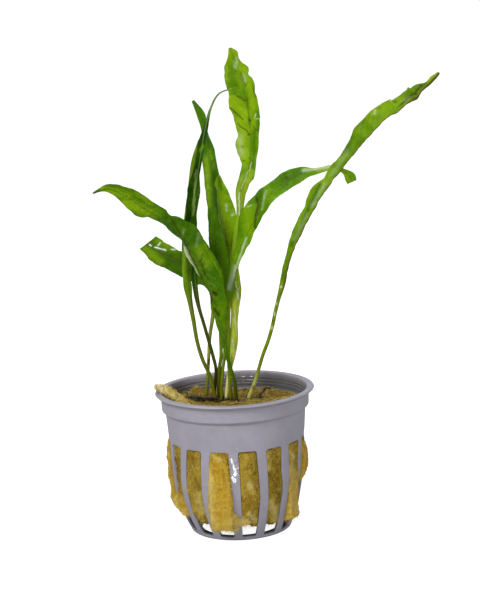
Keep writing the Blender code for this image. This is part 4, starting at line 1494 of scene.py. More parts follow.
@dataclass
class RootHairs:
    """The dark hairs and scales that stand in clumps round the feet of the stems.

    Attributes:
        clumps: x, y, height, spread and number of hairs of each clump.
        length: The shortest and the longest hair.
        radius: Half of a hair's thickness at its foot.
        finish: Their brown.
    """

    clumps: Rows = (
        (-9.6, 4.6, 45, 0.7, 110), (-8.2, 6.2, 45.2, 0.8, 150), (-7, 3.8, 45, 0.8, 150),
        (-5.4, 5, 45, 0.9, 150), (-4.4, 1.8, 44.8, 0.7, 110), (-2.9, 3.4, 45, 0.7, 120),
        (-1.3, 2.2, 44.8, 0.6, 90), (0.6, 1.4, 44.8, 0.5, 60), (4.8, 3.8, 44.9, 0.5, 60),
        (8.6, 3.8, 45, 0.5, 50), (-13.4, 3.4, 45.9, 0.9, 90), (-11.6, 3.6, 45.3, 0.8, 90),
        (-15.8, 3.2, 46.3, 0.6, 60), (-8, -0.6, 46.2, 0.7, 90),
    )
    length: tuple[float, float] = (0.8, 2.2)
    radius: float = 0.06
    finish: BarkFinish = BarkFinish("stem_foot_hairs", paint(20, 15, 9), paint(58, 42, 22))

    def build(self) -> None:
        """All of the clumps as one piece of bark colour."""
        random = np.random.default_rng(8)
        spread = np.concatenate([np.tile(clump[:4], (clump[4], 1)) for clump in self.clumps])
        shift = random.normal(size=(len(spread), 3)) * [1.0, 1.0, 0.3]
        starts = spread[:, :3] + shift * spread[:, 3:]
        lean = shift * [0.9, 0.9, 0.0] + [0.0, 0.0, 0.9]
        directions = lean + 0.6 * random.normal(size=lean.shape)
        lengths = random.uniform(*self.length, len(starts))
        hairs = fibres(starts - [0.0, 0.0, 0.5], directions, lengths, self.radius, 0.9, 9)
        make_piece("root_hairs", hairs, self.finish.material())


# Fronds


@dataclass(frozen=True)
class LeafFinish:
    """The greens of one frond and how wet and how veined it is.

    Attributes:
        light: The blade where its clouding is at its lighter end.
        dark: The blade where it is deep.
        painted_light: Where a broad patch of it is lighter, painted light that is partly the blade's own
            tone.
        shade: Where a broad patch of it is darker, painted shade that is partly the blade's own tone.
        rib: The midrib's line.
        vein: The side veins and their net.
        stem: The stem.
        foot: The stem's palest part, at its foot.
        under: The blade's back, paler than its face and partly a painted sheen.
        brown: Its brown marks and the specks along its edges.
        pale: Where it catches the light: painted highlights, sheen and glints of water, with a few pale
            veins.
        wet: How much of it carries water, from 0 to 1.
        net: How strongly the net of veins shows.
        rib_strength: How strongly the midrib's line shows.
        roughness: How dull the dry leaf is.
        relief_depth: How deep its veins are, in metres.
        water_ior: How strongly the water on it bends light.
    """

    light: Colour = paint(122, 160, 30)
    dark: Colour = paint(62, 112, 14)
    painted_light: Colour = paint(118, 152, 8)
    shade: Colour = paint(42, 84, 1)
    rib: Colour = paint(70, 84, 16)
    vein: Colour = paint(48, 92, 10)
    stem: Colour = paint(112, 134, 16)
    foot: Colour = paint(104, 108, 16)
    under: Colour = paint(150, 172, 96)
    brown: Colour = paint(54, 36, 6)
    pale: Colour = paint(190, 202, 160)
    wet: float = 0.05
    net: float = 0.06
    rib_strength: float = 0.35
    roughness: float = 0.32
    relief_depth: float = 0.00016
    water_ior: float = 1.33

    def material(self, name: str) -> bpy.types.Material:
        """Mottled green with a midrib, side veins and a net, a pale back, brown marks and water, and painted
        broad light and shade and painted highlights where it is marked.

        Args:
            name: The record's slot for the frond.

        Returns:
            The finished material.
        """
        material, tree, shader = new_material(name)
        place, wetness = object_place(tree), mark_of(tree, "wet")
        flat = node(tree, "ShaderNodeUVMap", uv_map="flat").outputs[0]
        clouds = EFFECTS.place(Effect.MOTTLE, place, Scale=80.0, Sharpness=0.4)["Mask"]
        flecks = EFFECTS.place(Effect.MOTTLE, place, Scale=520.0, Sharpness=0.4)["Mask"]
        veins = EFFECTS.place(Effect.LEAF_VEINS, flat, Spacing=0.0027, Slant=1.35, Net=820.0)
        film = EFFECTS.place(Effect.WET_FILM, place, Scale=330.0, Amount=self.wet)
        grain = EFFECTS.place(Effect.FINE_GRAIN, place, Scale=4200.0)["Height"]
        colour = blend(plus(times(clouds, 0.9), times(flecks, 0.1)), self.dark, self.light)
        # Broad painted shade and painted light, partly the blade's own tone.
        colour = blend(mark_of(tree, "shade"), colour, self.shade)
        colour = blend(mark_of(tree, "light"), colour, self.painted_light)
        lines = larger(times(veins["Vein"], 0.16), times(veins["Net"], self.net))
        colour = blend(lines, colour, self.vein)
        colour = blend(times(mark_of(tree, "under"), 0.75), colour, self.under)
        colour = blend(times(veins["Midrib"], self.rib_strength), colour, self.rib)
        streaks = between(noise_at(stretched(flat, 0.18, 1.0, 1.0), 1500.0, 3.0, 0.6), 0.4, 0.65)
        stem = blend(times(streaks, 0.45), self.stem, self.vein)
        stem = blend(mark_of(tree, "foot"), stem, self.foot)
        colour = blend(mark_of(tree, "blade"), stem, colour)
        # Painted highlights: sheen and glints of water where the pale mark is set.
        colour = blend(mark_of(tree, "pale"), colour, self.pale)
        edge = times(mark_of(tree, "margin"), between(flecks, 0.45, 0.8))
        colour = blend(times(edge, 0.3), colour, self.brown)
        colour = blend(mark_of(tree, "mark"), colour, self.brown)
        wet = larger(film["Gloss"], wetness)
        feed(shader, {
            "Base Color": colour,
            "Roughness": between(wet, 0.0, 1.0, self.roughness, 0.14),
            "Coat Weight": wet,
            "Coat Roughness": 0.05,
            "Coat IOR": self.water_ior,
            "Specular IOR Level": 0.05,
        })
        height = plus(times(veins["Height"], 0.4), times(grain, 0.08))
        height = plus(height, times(film["Height"], 0.9))
        drops = times(wetness, noise_at(place, 1500.0, 1.0))
        relief(shader, plus(height, times(drops, 2.5)), self.relief_depth, 0.8)
        return material


@dataclass
class Frond:
    """A stem and its blade, grown as one thing.

    A row is the midrib's x, y and z, then the left half's width and turn, then the right half's. A
    turn of 0 shows the half flat to the viewer, a positive one swings its edge away and a negative
    one swings it towards the viewer.

    Attributes:
        name: The frond's name.
        rows: The rows from the stem's foot to the tip.
        finish: Its greens.
        spots: Its marks.
        ruffle: How far its edges wave.
        quilt: How far it swells between its veins.
        ragged: How far its edges run in and out, as a share of its width.
        slant: How far the right edge of its end stands ahead of the middle, where it is cut across.
        foot_drop: How far the stem runs on down into the rhizome.
        step: How far apart its rings are.
        half_columns: How many columns of points each half has.
        blade_thickness: The blade's thickness.
        midrib_thickness: The thickness at its midrib.
        midrib_spread: How far from its middle the midrib's swelling has died away to a third.
        margin_spread: The same for the browned margin, from the edge.
        fold: How soft the fold at the midrib is, as a share of the half width.
        thinnest: The least half width that a half may have.
        stem_to_blade: Between which half widths it turns from a round stem to a flat blade, as
            multiples of the stem's own.
        slant_from: How far along, as a share, its slanting end starts.
    """

    name: str
    rows: Rows
    finish: LeafFinish
    spots: tuple[Spot, ...] = ()
    ruffle: float = 0.5
    quilt: float = 0.16
    ragged: float = 0.035
    slant: float = 0.0
    foot_drop: float = 1.3
    step: float = 0.42
    half_columns: int = 26
    blade_thickness: float = 0.20
    midrib_thickness: float = 0.46
    midrib_spread: float = 0.42
    margin_spread: float = 0.22
    fold: float = 0.16
    thinnest: float = 0.12
    stem_to_blade: tuple[float, float] = (1.25, 2.6)
    slant_from: float = 0.86

    def middle_sheet(self) -> tuple[Array, Array, Array, Array]:
        """The sheet between the frond's two skins, before it has a thickness.

        Across a row, s goes from -1 at the left edge to 1 at the right one. The right half's share
        is (s + sqrt(s^2 + fold^2)) / 2, the left half's is the same for -s, and each is carried
        along its own half's direction, so the midrib is a soft fold.

        Returns:
            The sheet's points, s, the two half widths of each ring, and the distance along.
        """
        rows = np.array(self.rows)
        foot = rows[0].copy()
        foot[2] -= self.foot_drop
        rows = np.vstack([foot, rows])
        total = float(length_of(rows[:, :3])[-1])
        path = smooth_rows(rows, int(total / self.step))
        path[:, [3, 5]] = np.maximum(path[:, [3, 5]], self.thinnest)
        forward, across, away = frame_along(path[:, :3])
        left_turn, right_turn = np.radians(path[:, 4, None]), np.radians(path[:, 6, None])
        left = -np.cos(left_turn) * across + np.sin(left_turn) * away
        right = np.cos(right_turn) * across + np.sin(right_turn) * away
        even = np.linspace(-1, 1, 2 * self.half_columns + 1)
        s = 0.55 * even + 0.45 * np.sin(0.5 * np.pi * even)
        along = length_of(path[:, :3])
        widths = path[:, [3, 5]]
        edge_place = along[:, None] * [1.0, 0.0, 0.0]
        blade = self.blade_share(widths.sum(axis=1) / 2)
        for side in (0, 1):
            wave = self.ragged * (lattice_noise(edge_place, 1.9, 60 + side)
                                  + 0.45 * lattice_noise(edge_place, 0.8, 62 + side))
            widths[:, side] *= 1 + wave * blade
        start = 0.5 * (np.sqrt(1 + self.fold**2) - 1)
        right_share = 0.5 * (s + np.sqrt(s**2 + self.fold**2)) - start
        left_share = 0.5 * (-s + np.sqrt(s**2 + self.fold**2)) - start
        sheet = (path[:, None, :3] + left_share[None, :, None] * (widths[:, 0, None] * left)[:, None]
                 + right_share[None, :, None] * (widths[:, 1, None] * right)[:, None])
        ramp = ease(np.linspace(0, 1, len(path)), self.slant_from, 1.0)[:, None, None]
        sheet = sheet + self.slant * s[None, :, None] * forward[:, None] * ramp
        return sheet, s, widths, along

    def blade_share(self, width: Array) -> Array:
        """0 on the round stem and 1 on the flat blade, from the half width."""
        thin, wide = (share * self.rows[2][3] for share in self.stem_to_blade)
        return ease(width, thin, wide)

    def surface(self) -> Surface:
        """The two skins of the frond on its middle sheet.

        The half thickness is stem_radius sqrt(1 - s^2) on the stem, and on the blade it is half the
        blade's thickness times (1 - s^6)^(1/2) plus a midrib of exp(-(d / midrib_spread)^2), d being
        the distance from its middle. Edges wave by ruffle * |s|^2.5 * noise and the blade swells by
        quilt * noise.

        Returns:
            The closed frond with its effects.
        """
        sheet, s, widths, along = self.middle_sheet()
        mean = widths.mean(axis=1)
        blade = self.blade_share(mean)[:, None]
        across = s[None, :] * np.where(s[None, :] < 0, widths[:, 0, None], widths[:, 1, None])
        normal = grid_normals(sheet)
        lengthwise = np.broadcast_to(along[:, None], across.shape)
        flat = np.stack([lengthwise, across, np.zeros_like(across)], axis=-1)
        seed = sum(map(ord, self.name))
        wave = lattice_noise(flat * [1.0, 0.25, 1.0], 4.6, seed) + 0.5 * lattice_noise(flat, 2.2, seed + 1)
        swell = rough_noise(flat, 1.9, seed + 2, 2) * (1 - np.abs(s[None, :]) ** 4)
        limit = np.minimum(1.0, mean[:, None] / 3.0)
        shift = blade * limit * (self.ruffle * np.abs(s[None, :]) ** 2.5 * wave + self.quilt * swell)
        sheet = sheet + normal * shift[..., None]
        stem = np.minimum(mean, self.rows[2][3])[:, None] * np.sqrt(1 - s[None, :] ** 2)
        swell = np.exp(-((across / self.midrib_spread) ** 2))
        rib = swell * (self.midrib_thickness - self.blade_thickness) / 2
        thin = (0.5 * self.blade_thickness + rib) * np.sqrt(1 - s[None, :] ** 6)
        half = stem * (1 - blade) + thin * blade
        top, under = sheet + normal * half[..., None], sheet - normal * half[..., None]
        points = np.concatenate([top, under[:, -2:0:-1]], axis=1)
        rings, sides = points.shape[:2]
        points = points.reshape(-1, 3)
        from_edge = (1 - np.abs(np.r_[s, s[-2:0:-1]]))[None, :] * mean[:, None]
        across = np.concatenate([across, across[:, -2:0:-1]], axis=1)
        uv = np.stack([np.broadcast_to(along[:, None], across.shape), across], axis=-1).reshape(-1, 2) * MM
        back = np.r_[np.zeros(len(s)), np.ones(len(s) - 2)]
        marks = {
            "blade": np.broadcast_to(np.maximum.accumulate(blade), (rings, sides)).ravel(),
            "under": np.broadcast_to(back, (rings, sides)).ravel(),
            "foot": np.broadcast_to(ease(along, 16.0, 3.0)[:, None], (rings, sides)).ravel(),
            "margin": (blade * np.exp(-from_edge / self.margin_spread)).ravel(),
        }
        for patch in (Patch.LIGHT, Patch.PAINTED_SHADE, Patch.MARK, Patch.PALE, Patch.WET):
            marks[patch.value] = np.zeros(len(points))
        wobble = 0.25 * np.stack([lattice_noise(points, 1.1, 71 + k) for k in range(3)], axis=1)
        for spot in self.spots:
            name = spot.patch.value
            marks[name] = np.maximum(marks[name], spot.value(points + wobble))
        return Surface(points, tube_faces(rings, sides), uv, marks)

    def build(self) -> None:
        """The finished frond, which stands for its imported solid."""
        slot = f"frond_{self.name}_green"
        material = self.finish.material(slot)
        make_piece(f"{self.name}_frond", self.surface(), material, [f"frond_{self.name}"])


DEEP = LeafFinish(light=paint(84, 124, 0), dark=paint(40, 85, 0), vein=paint(110, 144, 26),
                  stem=paint(60, 98, 2), foot=paint(72, 80, 6), under=paint(170, 186, 150), wet=0.1,
                  net=0.08, rib_strength=0.15, relief_depth=0.0005)

TALL = Frond("tall", (
    (-2.9, 3.5, 45.1, 0.8, 0, 0.8, 0), (-2.2, 3.8, 51.3, 0.55, 0, 0.65, 0),
    (-0.8, 4.1, 56.3, 1.04, 6, 0.61, 3), (0.3, 4.5, 61.1, 1.59, 16, 1.01, 5),
    (0.8, 4.9, 66, 1.6, 23, 1.43, -3), (1, 5.4, 71.2, 1.19, 23, 1.39, -18),
    (1.5, 5.7, 76.3, 1.25, 11, 1.7, -25), (2.2, 5.7, 81.2, 2.43, -3, 1.89, -15),
    (2, 5.6, 86.2, 2.32, -13, 2, 6), (1.6, 5.6, 91.4, 1.37, -10, 1.85, 10),
    (2.3, 5.6, 96.2, 1.07, -3, 1.4, 3), (3.4, 5.5, 101.3, 1.05, 0, 1.17, 0),
    (4.6, 5.6, 106, 1.26, 0, 0.86, 0), (5.1, 5.9, 111, 1.18, 2, 1.28, 0),
    (5.3, 6.4, 116.1, 1.44, 7, 2.14, 0), (6, 6.5, 118.1, 1.76, 8, 2.24, -2),
    (6.7, 6.6, 120, 1.87, 10, 2.31, -5), (7.5, 6.7, 122, 2.1, 11, 3.16, -9),
    (8.4, 6.8, 123.7, 2.44, 12, 2.72, -13), (9.3, 7, 125.6, 3.11, 14, 2.11, -18),
    (9.6, 7, 127.5, 3.93, 14, 2.12, -23), (9.9, 7.1, 129.7, 4.9, 15, 2.21, -28),
    (10.1, 7.1, 131.6, 5.55, 15, 2.49, -32), (10.2, 7, 133.6, 5.42, 15, 2.93, -34),
    (10.3, 7, 135.7, 4.83, 15, 3.22, -36), (10.2, 6.9, 137.7, 4.94, 15, 3.86, -35),
    (10, 6.8, 139.8, 5.14, 15, 4.37, -33), (9.9, 6.8, 141.8, 5.43, 15, 4.34, -31),
    (9.8, 6.6, 143.9, 5.91, 15, 4.09, -30), (9.6, 6.5, 145.8, 6.47, 15, 4.04, -28),
    (9.3, 6.4, 148, 6.46, 15, 3.94, -27), (9, 6.2, 149.9, 6.04, 15, 3.68, -26),
    (8.7, 6.1, 152, 5.97, 15, 3.85, -24), (8.2, 5.9, 153.9, 5.92, 15, 3.9, -23),
    (7.6, 5.8, 155.9, 5.63, 15, 3.16, -21), (7.1, 5.6, 158, 5.21, 13, 3.52, -18),
    (6.5, 5.5, 159.9, 4.61, 11, 2.19, -15), (5.9, 5.3, 161.9, 3.06, 8, 1.51, -10),
    (5.2, 5.2, 163.7, 1.61, 4, 1.82, -6), (4.4, 5.1, 165.6, 0.4, 0, 0.4, 0),
), LeafFinish(light=paint(124, 160, 6), dark=paint(84, 126, 2), stem=paint(182, 194, 62),
    foot=paint(206, 198, 130), painted_light=paint(130, 160, 12)), spots_of(
    light=((5.1, 164.2, 6.5, 164.1, 0.9, 0.7), (2.9, 160.3, 2.6, 154.9, 0.7, 0.5),
        (8.6, 159.3, 9.2, 157.9, 1.2, 0.6), (10.4, 154.5, 11.3, 144.9, 1, 0.6),
        (4.6, 147.6, 8.8, 143, 2, 0.7), (6, 140.4, 8.5, 136.2, 1, 0.5), (6.4, 134.9, 7.4, 128.7, 2, 0.9),
        (9.5, 123.1, 6.2, 112, 0.9, 0.7), (0.4, 84, 1.6, 72, 1.2, 0.5)),
    shade=((4.6, 159.5, 5.1, 150.7, 1.8, 0.45), (9.4, 148.4, 10, 139.5, 0.45, 0.7),
        (11.5, 153, 12.3, 148.9, 0.35, 0.7), (12.9, 143.4, 12.8, 136.6, 0.7, 0.7),
        (6.8, 149.2, 8.4, 147.8, 0.8, 0.4), (11.6, 137.4, 10.1, 124.5, 0.9, 0.6),
        (6, 124, 4.1, 117.3, 0.35, 0.7), (10.1, 121.4, 7.8, 116.4, 0.35, 0.6)),
    pale=((6.4, 162.1, 6.2, 159.1, 0.6, 0.3), (8.8, 155.9, 8.9, 154.2, 0.7, 0.28),
        (6.1, 135.6, 6.4, 129.4, 1.2, 0.22), (10, 126.2, 5.8, 117.5, 0.16, 0.7),
        (5.1, 116.2, 4.9, 109, 0.28, 0.8), (2.3, 85.6, 2.9, 79.6, 0.22, 0.9), (3, 83, 3, 80.2, 0.2, 0.9),
        (-0.5, 80.6, -0.9, 76.6, 0.18, 0.6), (1.5, 75.7, 1.6, 66.7, 0.16, 0.8),
        (0.3, 65.6, 0.6, 59.4, 0.24, 0.8), (12, 142.8, 11.8, 141.6, 0.16, 0.9),
        (11.8, 141.4, 12.8, 141.4, 0.16, 0.9)),
    wet=((7.1, 121.9, 5.5, 117.2, 0.5, 1), (5.1, 116.5, 4.9, 110.4, 0.5, 1),
        (12.2, 142.6, 12.3, 142.4, 0.7, 1)),
    mark=((7.6, 157, 9.1, 152.5, 0.18), (5.6, 153.4, 7.2, 151.6, 0.16, 0.7),
        (3.6, 149.9, 5.8, 150, 0.16, 0.7), (5.9, 149.4, 8.5, 147.5, 0.2), (9.2, 147.8, 9.3, 147.7, 0.22),
        (6, 157.7, 6.1, 157.6, 0.35, 0.7), (3.5, 145.3, 7.8, 141.1, 0.22), (5.9, 139.6, 10.1, 135.9, 0.22),
        (9.9, 140.8, 10, 140.7, 0.45), (9.3, 136.1, 9.4, 136, 0.5), (7.3, 131.9, 7.4, 131.7, 0.22),
        (9.4, 127.9, 9.5, 127.7, 0.22), (7.3, 127.2, 7.4, 127, 0.2), (11, 138.8, 12.5, 137.3, 0.18),
        (11.8, 151.3, 12.5, 149.3, 0.28), (12.5, 134.8, 12.6, 134.6, 0.18), (2.3, 83.4, 4, 80.1, 0.25, 0.6)),
), step=0.28)
RIGHT = Frond("right", (
    (-1.3, 2.4, 45.1, 0.7, 0, 0.7, 0), (-1.5, 2.1, 50.1, 0.57, 0, 0.57, 0),
    (-1.6, 1.6, 58.9, 0.53, 0, 0.57, 0), (-1.1, 1, 67.7, 0.53, 4, 0.57, -4),
    (-0.5, 0.2, 76.5, 0.65, 26, 0.6, -26), (0.1, -0.4, 80.9, 1.4, 30, 0.9, -43),
    (0.8, -1, 85.2, 2.2, 36, 1.3, -54), (1.8, -1.6, 89.4, 2.3, 46, 1.5, -60),
    (3, -2.2, 93.6, 2.2, 47, 2.45, -63), (4.5, -2.7, 97.7, 2.25, 38, 2.8, -65),
    (6.3, -3.4, 101.6, 3.5, 26, 3.05, -65), (8.4, -4.1, 105.3, 5.05, 18, 3.25, -64),
    (10.5, -4.9, 109.3, 5.35, 12, 3.45, -60), (12.8, -5.5, 112.9, 4.65, 13, 3.15, -55),
    (15.3, -6.1, 116.3, 4, 16, 2.6, -46), (18.4, -6.7, 119.5, 2.85, 19, 3.3, -34),
    (22.3, -7.2, 121.6, 3.45, 25, 2.8, -30), (26.3, -7.6, 123.4, 2.5, 32, 2.35, -31),
    (30.6, -7.7, 124.2, 0.9, 37, 1.7, -34), (36.2, -7.6, 124.9, 0.9, 30, 0.9, -30),
    (40, -7.2, 123.6, 0.8, 20, 0.8, -20), (42.2, -6.9, 121.4, 1.9, 0, 1.9, 0),
    (43, -6.7, 119.6, 1.6, 0, 1.8, 0),
), LeafFinish(light=paint(104, 146, 4), dark=paint(64, 108, 2)), spots_of(
    light=((7.1, 112.5, 7.7, 104.1, 1.6, 0.7), (14.7, 118.7, 15.9, 114.8, 1.2, 0.4),
        (31.7, 124.3, 35.1, 125, 0.7, 0.8), (40.7, 121.8, 42.3, 120.3, 1.2, 0.7)),
    shade=((11.2, 115, 12.7, 118.4, 1.2, 0.8), (10.7, 110.2, 12.6, 115, 0.8, 0.6),
        (19.9, 121.5, 25, 124, 1.7, 0.6), (9.4, 104.7, 15.1, 112.8, 0.5, 0.6)),
    pale=((14, 118, 12.4, 111.9, 0.35, 0.3), (26.7, 124.4, 35.7, 125.2, 0.5, 0.6),
        (17, 115.4, 28.9, 121.8, 0.35, 0.6), (6.6, 102, 3, 93, 0.35, 0.6), (2.6, 92, 0, 84.7, 0.75, 0.7),
        (7.2, 113.6, 8.2, 115.4, 0.16, 0.7), (7.4, 112.9, 8.9, 113.2, 0.16, 0.6)),
    mark=((10.7, 116.1, 11.4, 113.2), (11.4, 113.2, 10.5, 111.1), (10.5, 111.1, 9.6, 105.8),
        (21.1, 122.2, 21.3, 122.2, 0.45), (3.2, 91.4, 2.4, 89.8, 0.3, 0.8)),
    wet=((8.8, 114.2, 9, 114.2, 0.6, 1), (10.4, 109.2, 10.5, 108.6, 0.4, 1)),
))
FAR_RIGHT = Frond("far_right", (
    (4.9, 3.4, 45.1, 0.7, 0, 0.7, 0), (6.9, 2.3, 50, 0.62, 0, 0.66, 0), (8.6, 1.2, 55.2, 0.59, 0, 0.64, 0),
    (10.4, 0, 60.6, 0.64, 0, 0.61, 0), (12.4, -1.1, 65.6, 0.65, 0, 0.61, 2),
    (14.1, -2.3, 71, 0.66, 1, 0.62, 4), (15.3, -3.6, 76.2, 0.67, 5, 0.68, 16),
    (16.8, -4.9, 81.6, 0.77, 10, 0.83, 38), (18.8, -6.4, 86.4, 1.73, 13, 1.08, 64),
    (20.1, -7.9, 91.6, 1.88, 13, 1.49, 89), (21.8, -9.4, 96.8, 2.11, 11, 2.06, 108),
    (24.2, -10.9, 101.7, 3.12, 10, 2.58, 119), (26.6, -12.3, 106.5, 3.43, 10, 3.04, 124),
    (29.4, -13.8, 111.3, 3.6, 10, 3.41, 125), (32.3, -15.1, 116, 4.81, 10, 3.54, 125),
    (35.5, -16.3, 120.5, 3.31, 10, 3.55, 125), (37.1, -16.9, 122.5, 3.69, 10, 3.6, 125),
    (38.8, -17.4, 124.5, 3.9, 10, 3.68, 125), (40.5, -18, 126.7, 3.6, 10, 3.75, 124),
    (42.1, -18.5, 128.6, 3.73, 10, 3.82, 123), (44, -19, 130.8, 4.17, 10, 3.88, 122),
    (45.7, -19.4, 132.6, 4.91, 10, 3.92, 121), (47.6, -19.9, 134.7, 5.73, 10, 3.94, 119),
    (49.3, -20.3, 136.5, 5.79, 10, 3.92, 118), (51.2, -20.8, 138.5, 5.83, 10, 3.85, 116),
    (53.2, -21.2, 140.4, 5.67, 10, 3.73, 113), (55.3, -21.5, 142.2, 5.15, 10, 3.56, 109),
    (57.6, -21.8, 143, 5.43, 10, 3.37, 105), (59.6, -22.2, 144.9, 4.1, 10, 3.13, 100),
    (61.7, -22.4, 146.5, 4, 10, 2.83, 93), (64.1, -22.7, 147.6, 4.98, 10, 2.5, 86),
    (65.5, -23, 149.9, 3.23, 8, 2.06, 77), (67.4, -23.2, 151.8, 1.23, 6, 1.57, 66),
    (69.3, -23.4, 153.7, 1.14, 3, 0.99, 53), (71.2, -23.5, 155.7, 0.4, 0, 0.4, 40),
), LeafFinish(light=paint(114, 148, 10), dark=paint(74, 112, 2), rib=paint(84, 62, 20),
    rib_strength=0.9, stem=paint(110, 130, 20), foot=paint(186, 180, 96)), spots_of(
    light=((49.3, 143.9, 58.4, 147.1, 1.8, 0.8), (67.6, 153.4, 70.5, 155.4, 0.8, 1),
        (28.4, 118.7, 26.9, 114, 0.6, 0.5), (24.7, 108.9, 24, 105.8, 0.6, 0.6)),
    pale=((50.3, 144.5, 50.3, 143.2, 0.4, 0.45), (40.9, 131, 35.4, 123.2, 0.7, 0.16),
        (33.4, 120.6, 28.8, 113.2, 0.7, 0.22), (27.1, 110.5, 22.5, 101.6, 0.5, 0.2),
        (60, 147, 62, 148.2, 0.4, 0.4), (46.8, 133.8, 52.1, 139.2, 0.3, 0.25),
        (58, 143.2, 58.6, 143.6, 0.4, 0.6), (17.5, 85.2, 17.6, 85, 0.35, 0.8),
        (15.6, 79.3, 15.7, 79, 0.35, 0.8), (15, 75.7, 15, 75.2, 0.35, 0.8),
        (13.9, 70.6, 13.9, 70.2, 0.35, 0.8)),
    shade=((64.6, 151, 66.9, 152.5, 0.8, 0.6), (42, 135.6, 40.9, 131.7, 1.4, 0.5),
        (45.8, 134.8, 42.4, 130, 1.2, 0.35), (31.7, 120.6, 21.5, 99.5, 0.55, 0.8),
        (36.6, 122, 20.2, 92, 0.55, 0.7), (41, 128, 30, 111.5, 1.2, 0.45), (30, 111.5, 18.6, 88, 1.2, 0.45)),
    mark=((54, 140.5, 41, 126.8, 0.35, 0.75), (58.4, 145.5, 65, 151, 0.35, 0.75),
        (62, 147.9, 63.9, 147.8, 0.5, 0.6), (56.8, 146.9, 57, 147), (59.2, 146.1, 59.4, 146.2),
        (61.8, 148.4, 62.1, 148.6, 0.4), (63.6, 149.2, 63.8, 149.4, 0.4), (65.2, 151.7, 65.4, 151.9, 0.4),
        (55.3, 142.3, 55.5, 142.4, 0.3, 0.7), (51.4, 145, 51.6, 145, 0.3, 0.7),
        (63.6, 147.5, 64, 147.7, 0.5, 0.7), (14, 73.2, 14, 72.9), (12.7, 68.8, 12.7, 68.5),
        (6.4, 48.6, 6.6, 48.9, 0.6, 0.7)),
))
FRONT_LEFT = Frond("front_left", (
    (0.5, 1.4, 45.1, 0.65, 0, 0.65, 0), (0.2, 0, 51.2, 0.6, 0, 0.62, 0), (-0.3, -0.7, 54, 0.63, 0, 0.63, 0),
    (-1, -1.4, 56.9, 0.66, 0, 0.63, 0), (-1.6, -2.2, 59.7, 0.65, 4, 0.66, 0),
    (-2.1, -2.9, 62.7, 0.81, 12, 0.68, 0), (-2.5, -3.6, 65.6, 1.04, 20, 0.71, 0),
    (-3, -4.3, 68.4, 0.89, 30, 0.96, 0), (-3.4, -5, 71.2, 1.48, 40, 1.22, 1),
    (-3.9, -5.7, 74.2, 2.29, 49, 2.1, 2), (-4.4, -6.3, 77, 2.8, 56, 3.03, 3),
    (-4.9, -7.1, 80, 2.96, 61, 3.84, 5), (-5.4, -7.8, 82.7, 2.78, 65, 4.11, 5),
    (-6, -8.5, 85.6, 1.8, 60, 4.56, 5), (-6.6, -9.1, 88, 1.7, 46, 5.04, 5),
    (-7.4, -9.8, 90.4, 2, 34, 5.63, 4), (-8.3, -10.5, 92.6, 2.4, 26, 5.71, 4),
    (-9.1, -11.1, 94.8, 2.8, 22, 5.7, 3), (-10.3, -11.9, 97.1, 3, 20, 5.64, 1),
    (-11.3, -12.5, 99.2, 3, 22, 5.5, 0), (-12.5, -13.2, 101.4, 2.6, 40, 5.36, 0),
    (-13.9, -13.9, 103.5, 2.2, 66, 6.07, 1), (-15.2, -14.5, 105.4, 2.61, 67, 6.1, 2),
    (-16.8, -15.2, 107.3, 1.62, 60, 4.99, 4), (-18.5, -15.9, 109.1, 2.06, 53, 4.27, 3),
    (-20.2, -16.5, 110.8, 2.09, 46, 2.91, 2), (-21.9, -17.1, 112.5, 2.31, 39, 3.32, -1),
    (-23.7, -17.7, 114.2, 3.06, 29, 3.22, -4), (-25.7, -18.3, 115.7, 3.68, 19, 3.22, -8),
    (-27.6, -18.8, 117.2, 3.84, 11, 3.5, -11), (-29.5, -19.2, 118.6, 3.34, 5, 3.79, -15),
    (-31.6, -19.7, 120.2, 2.82, 2, 3.52, -19), (-33.7, -20.2, 121.6, 2.13, 1, 2.73, -21),
    (-35.7, -20.6, 122.8, 1.75, 1, 2.55, -23), (-38.1, -21, 123.6, 1.3, 4, 1.56, -22),
    (-40.5, -21.3, 123.2, 0.66, 3, 0.58, -14), (-42.8, -21.6, 122.2, 0.3, 0, 0.3, 0),
), DEEP, spots_of(
    light=((-39.1, 123.4, -31.5, 120.5, 1.6, 0.7), (-32.3, 118.2, -24.8, 113.9, 2.2, 0.9),
        (-28.8, 121.6, -23.9, 117.2, 1, 0.6), (-9.4, 100.2, -7.3, 95.8, 1.6, 0.5),
        (-7.6, 102.2, -2.5, 90.5, 0.2, 0.5)),
    shade=((-43.1, 121.7, -39.1, 123.7, 0.6, 0.8), (-20.3, 112.2, -16.4, 106, 1.3, 0.75),
        (-24.2, 112.2, -19.2, 108.3, 0.6, 0.6), (-13.2, 108.9, -11.5, 104.6, 2.2, 0.6),
        (-3.7, 87.4, -2.6, 81.9, 0.9, 0.5)),
    pale=((-13.9, 107.9, -14.4, 106.2, 0.4, 0.18), (-9.1, 105.8, -10.3, 101.7, 0.6, 0.14),
        (-7.7, 94.4, -5.8, 92.9, 0.12, 0.16), (-6.9, 91.2, -4.6, 89.6, 0.12, 0.16),
        (-6.7, 88.3, -4.4, 86.7, 0.12, 0.14), (-14.6, 100.6, -11.2, 92, 0.95), (-11.2, 92, -8.6, 87, 0.45)),
    mark=((-14.4, 104.4, -8, 87.6, 0.25, 0.9), (-8.9, 96.7, -7.9, 91.2, 0.3, 0.6),
        (-7.8, 87.3, -6.4, 80.7, 0.35, 0.65), (-18, 111.7, -14.7, 105.7, 0.3, 0.6),
        (-5.2, 84.6, -4.4, 84, 0.6, 1), (-6.6, 84.3, -6, 81.4, 0.4, 0.9), (-5.3, 78.6, -4, 76.5, 0.6, 0.9)),
    wet=((-8.8, 98.8, -9.2, 97, 0.5, 1), (-9.7, 96.9, -9.6, 96.6, 0.5, 1), (-8.1, 95.9, -8, 95.6, 0.45, 1)),
), ruffle=0.55, quilt=0.24, step=0.34)
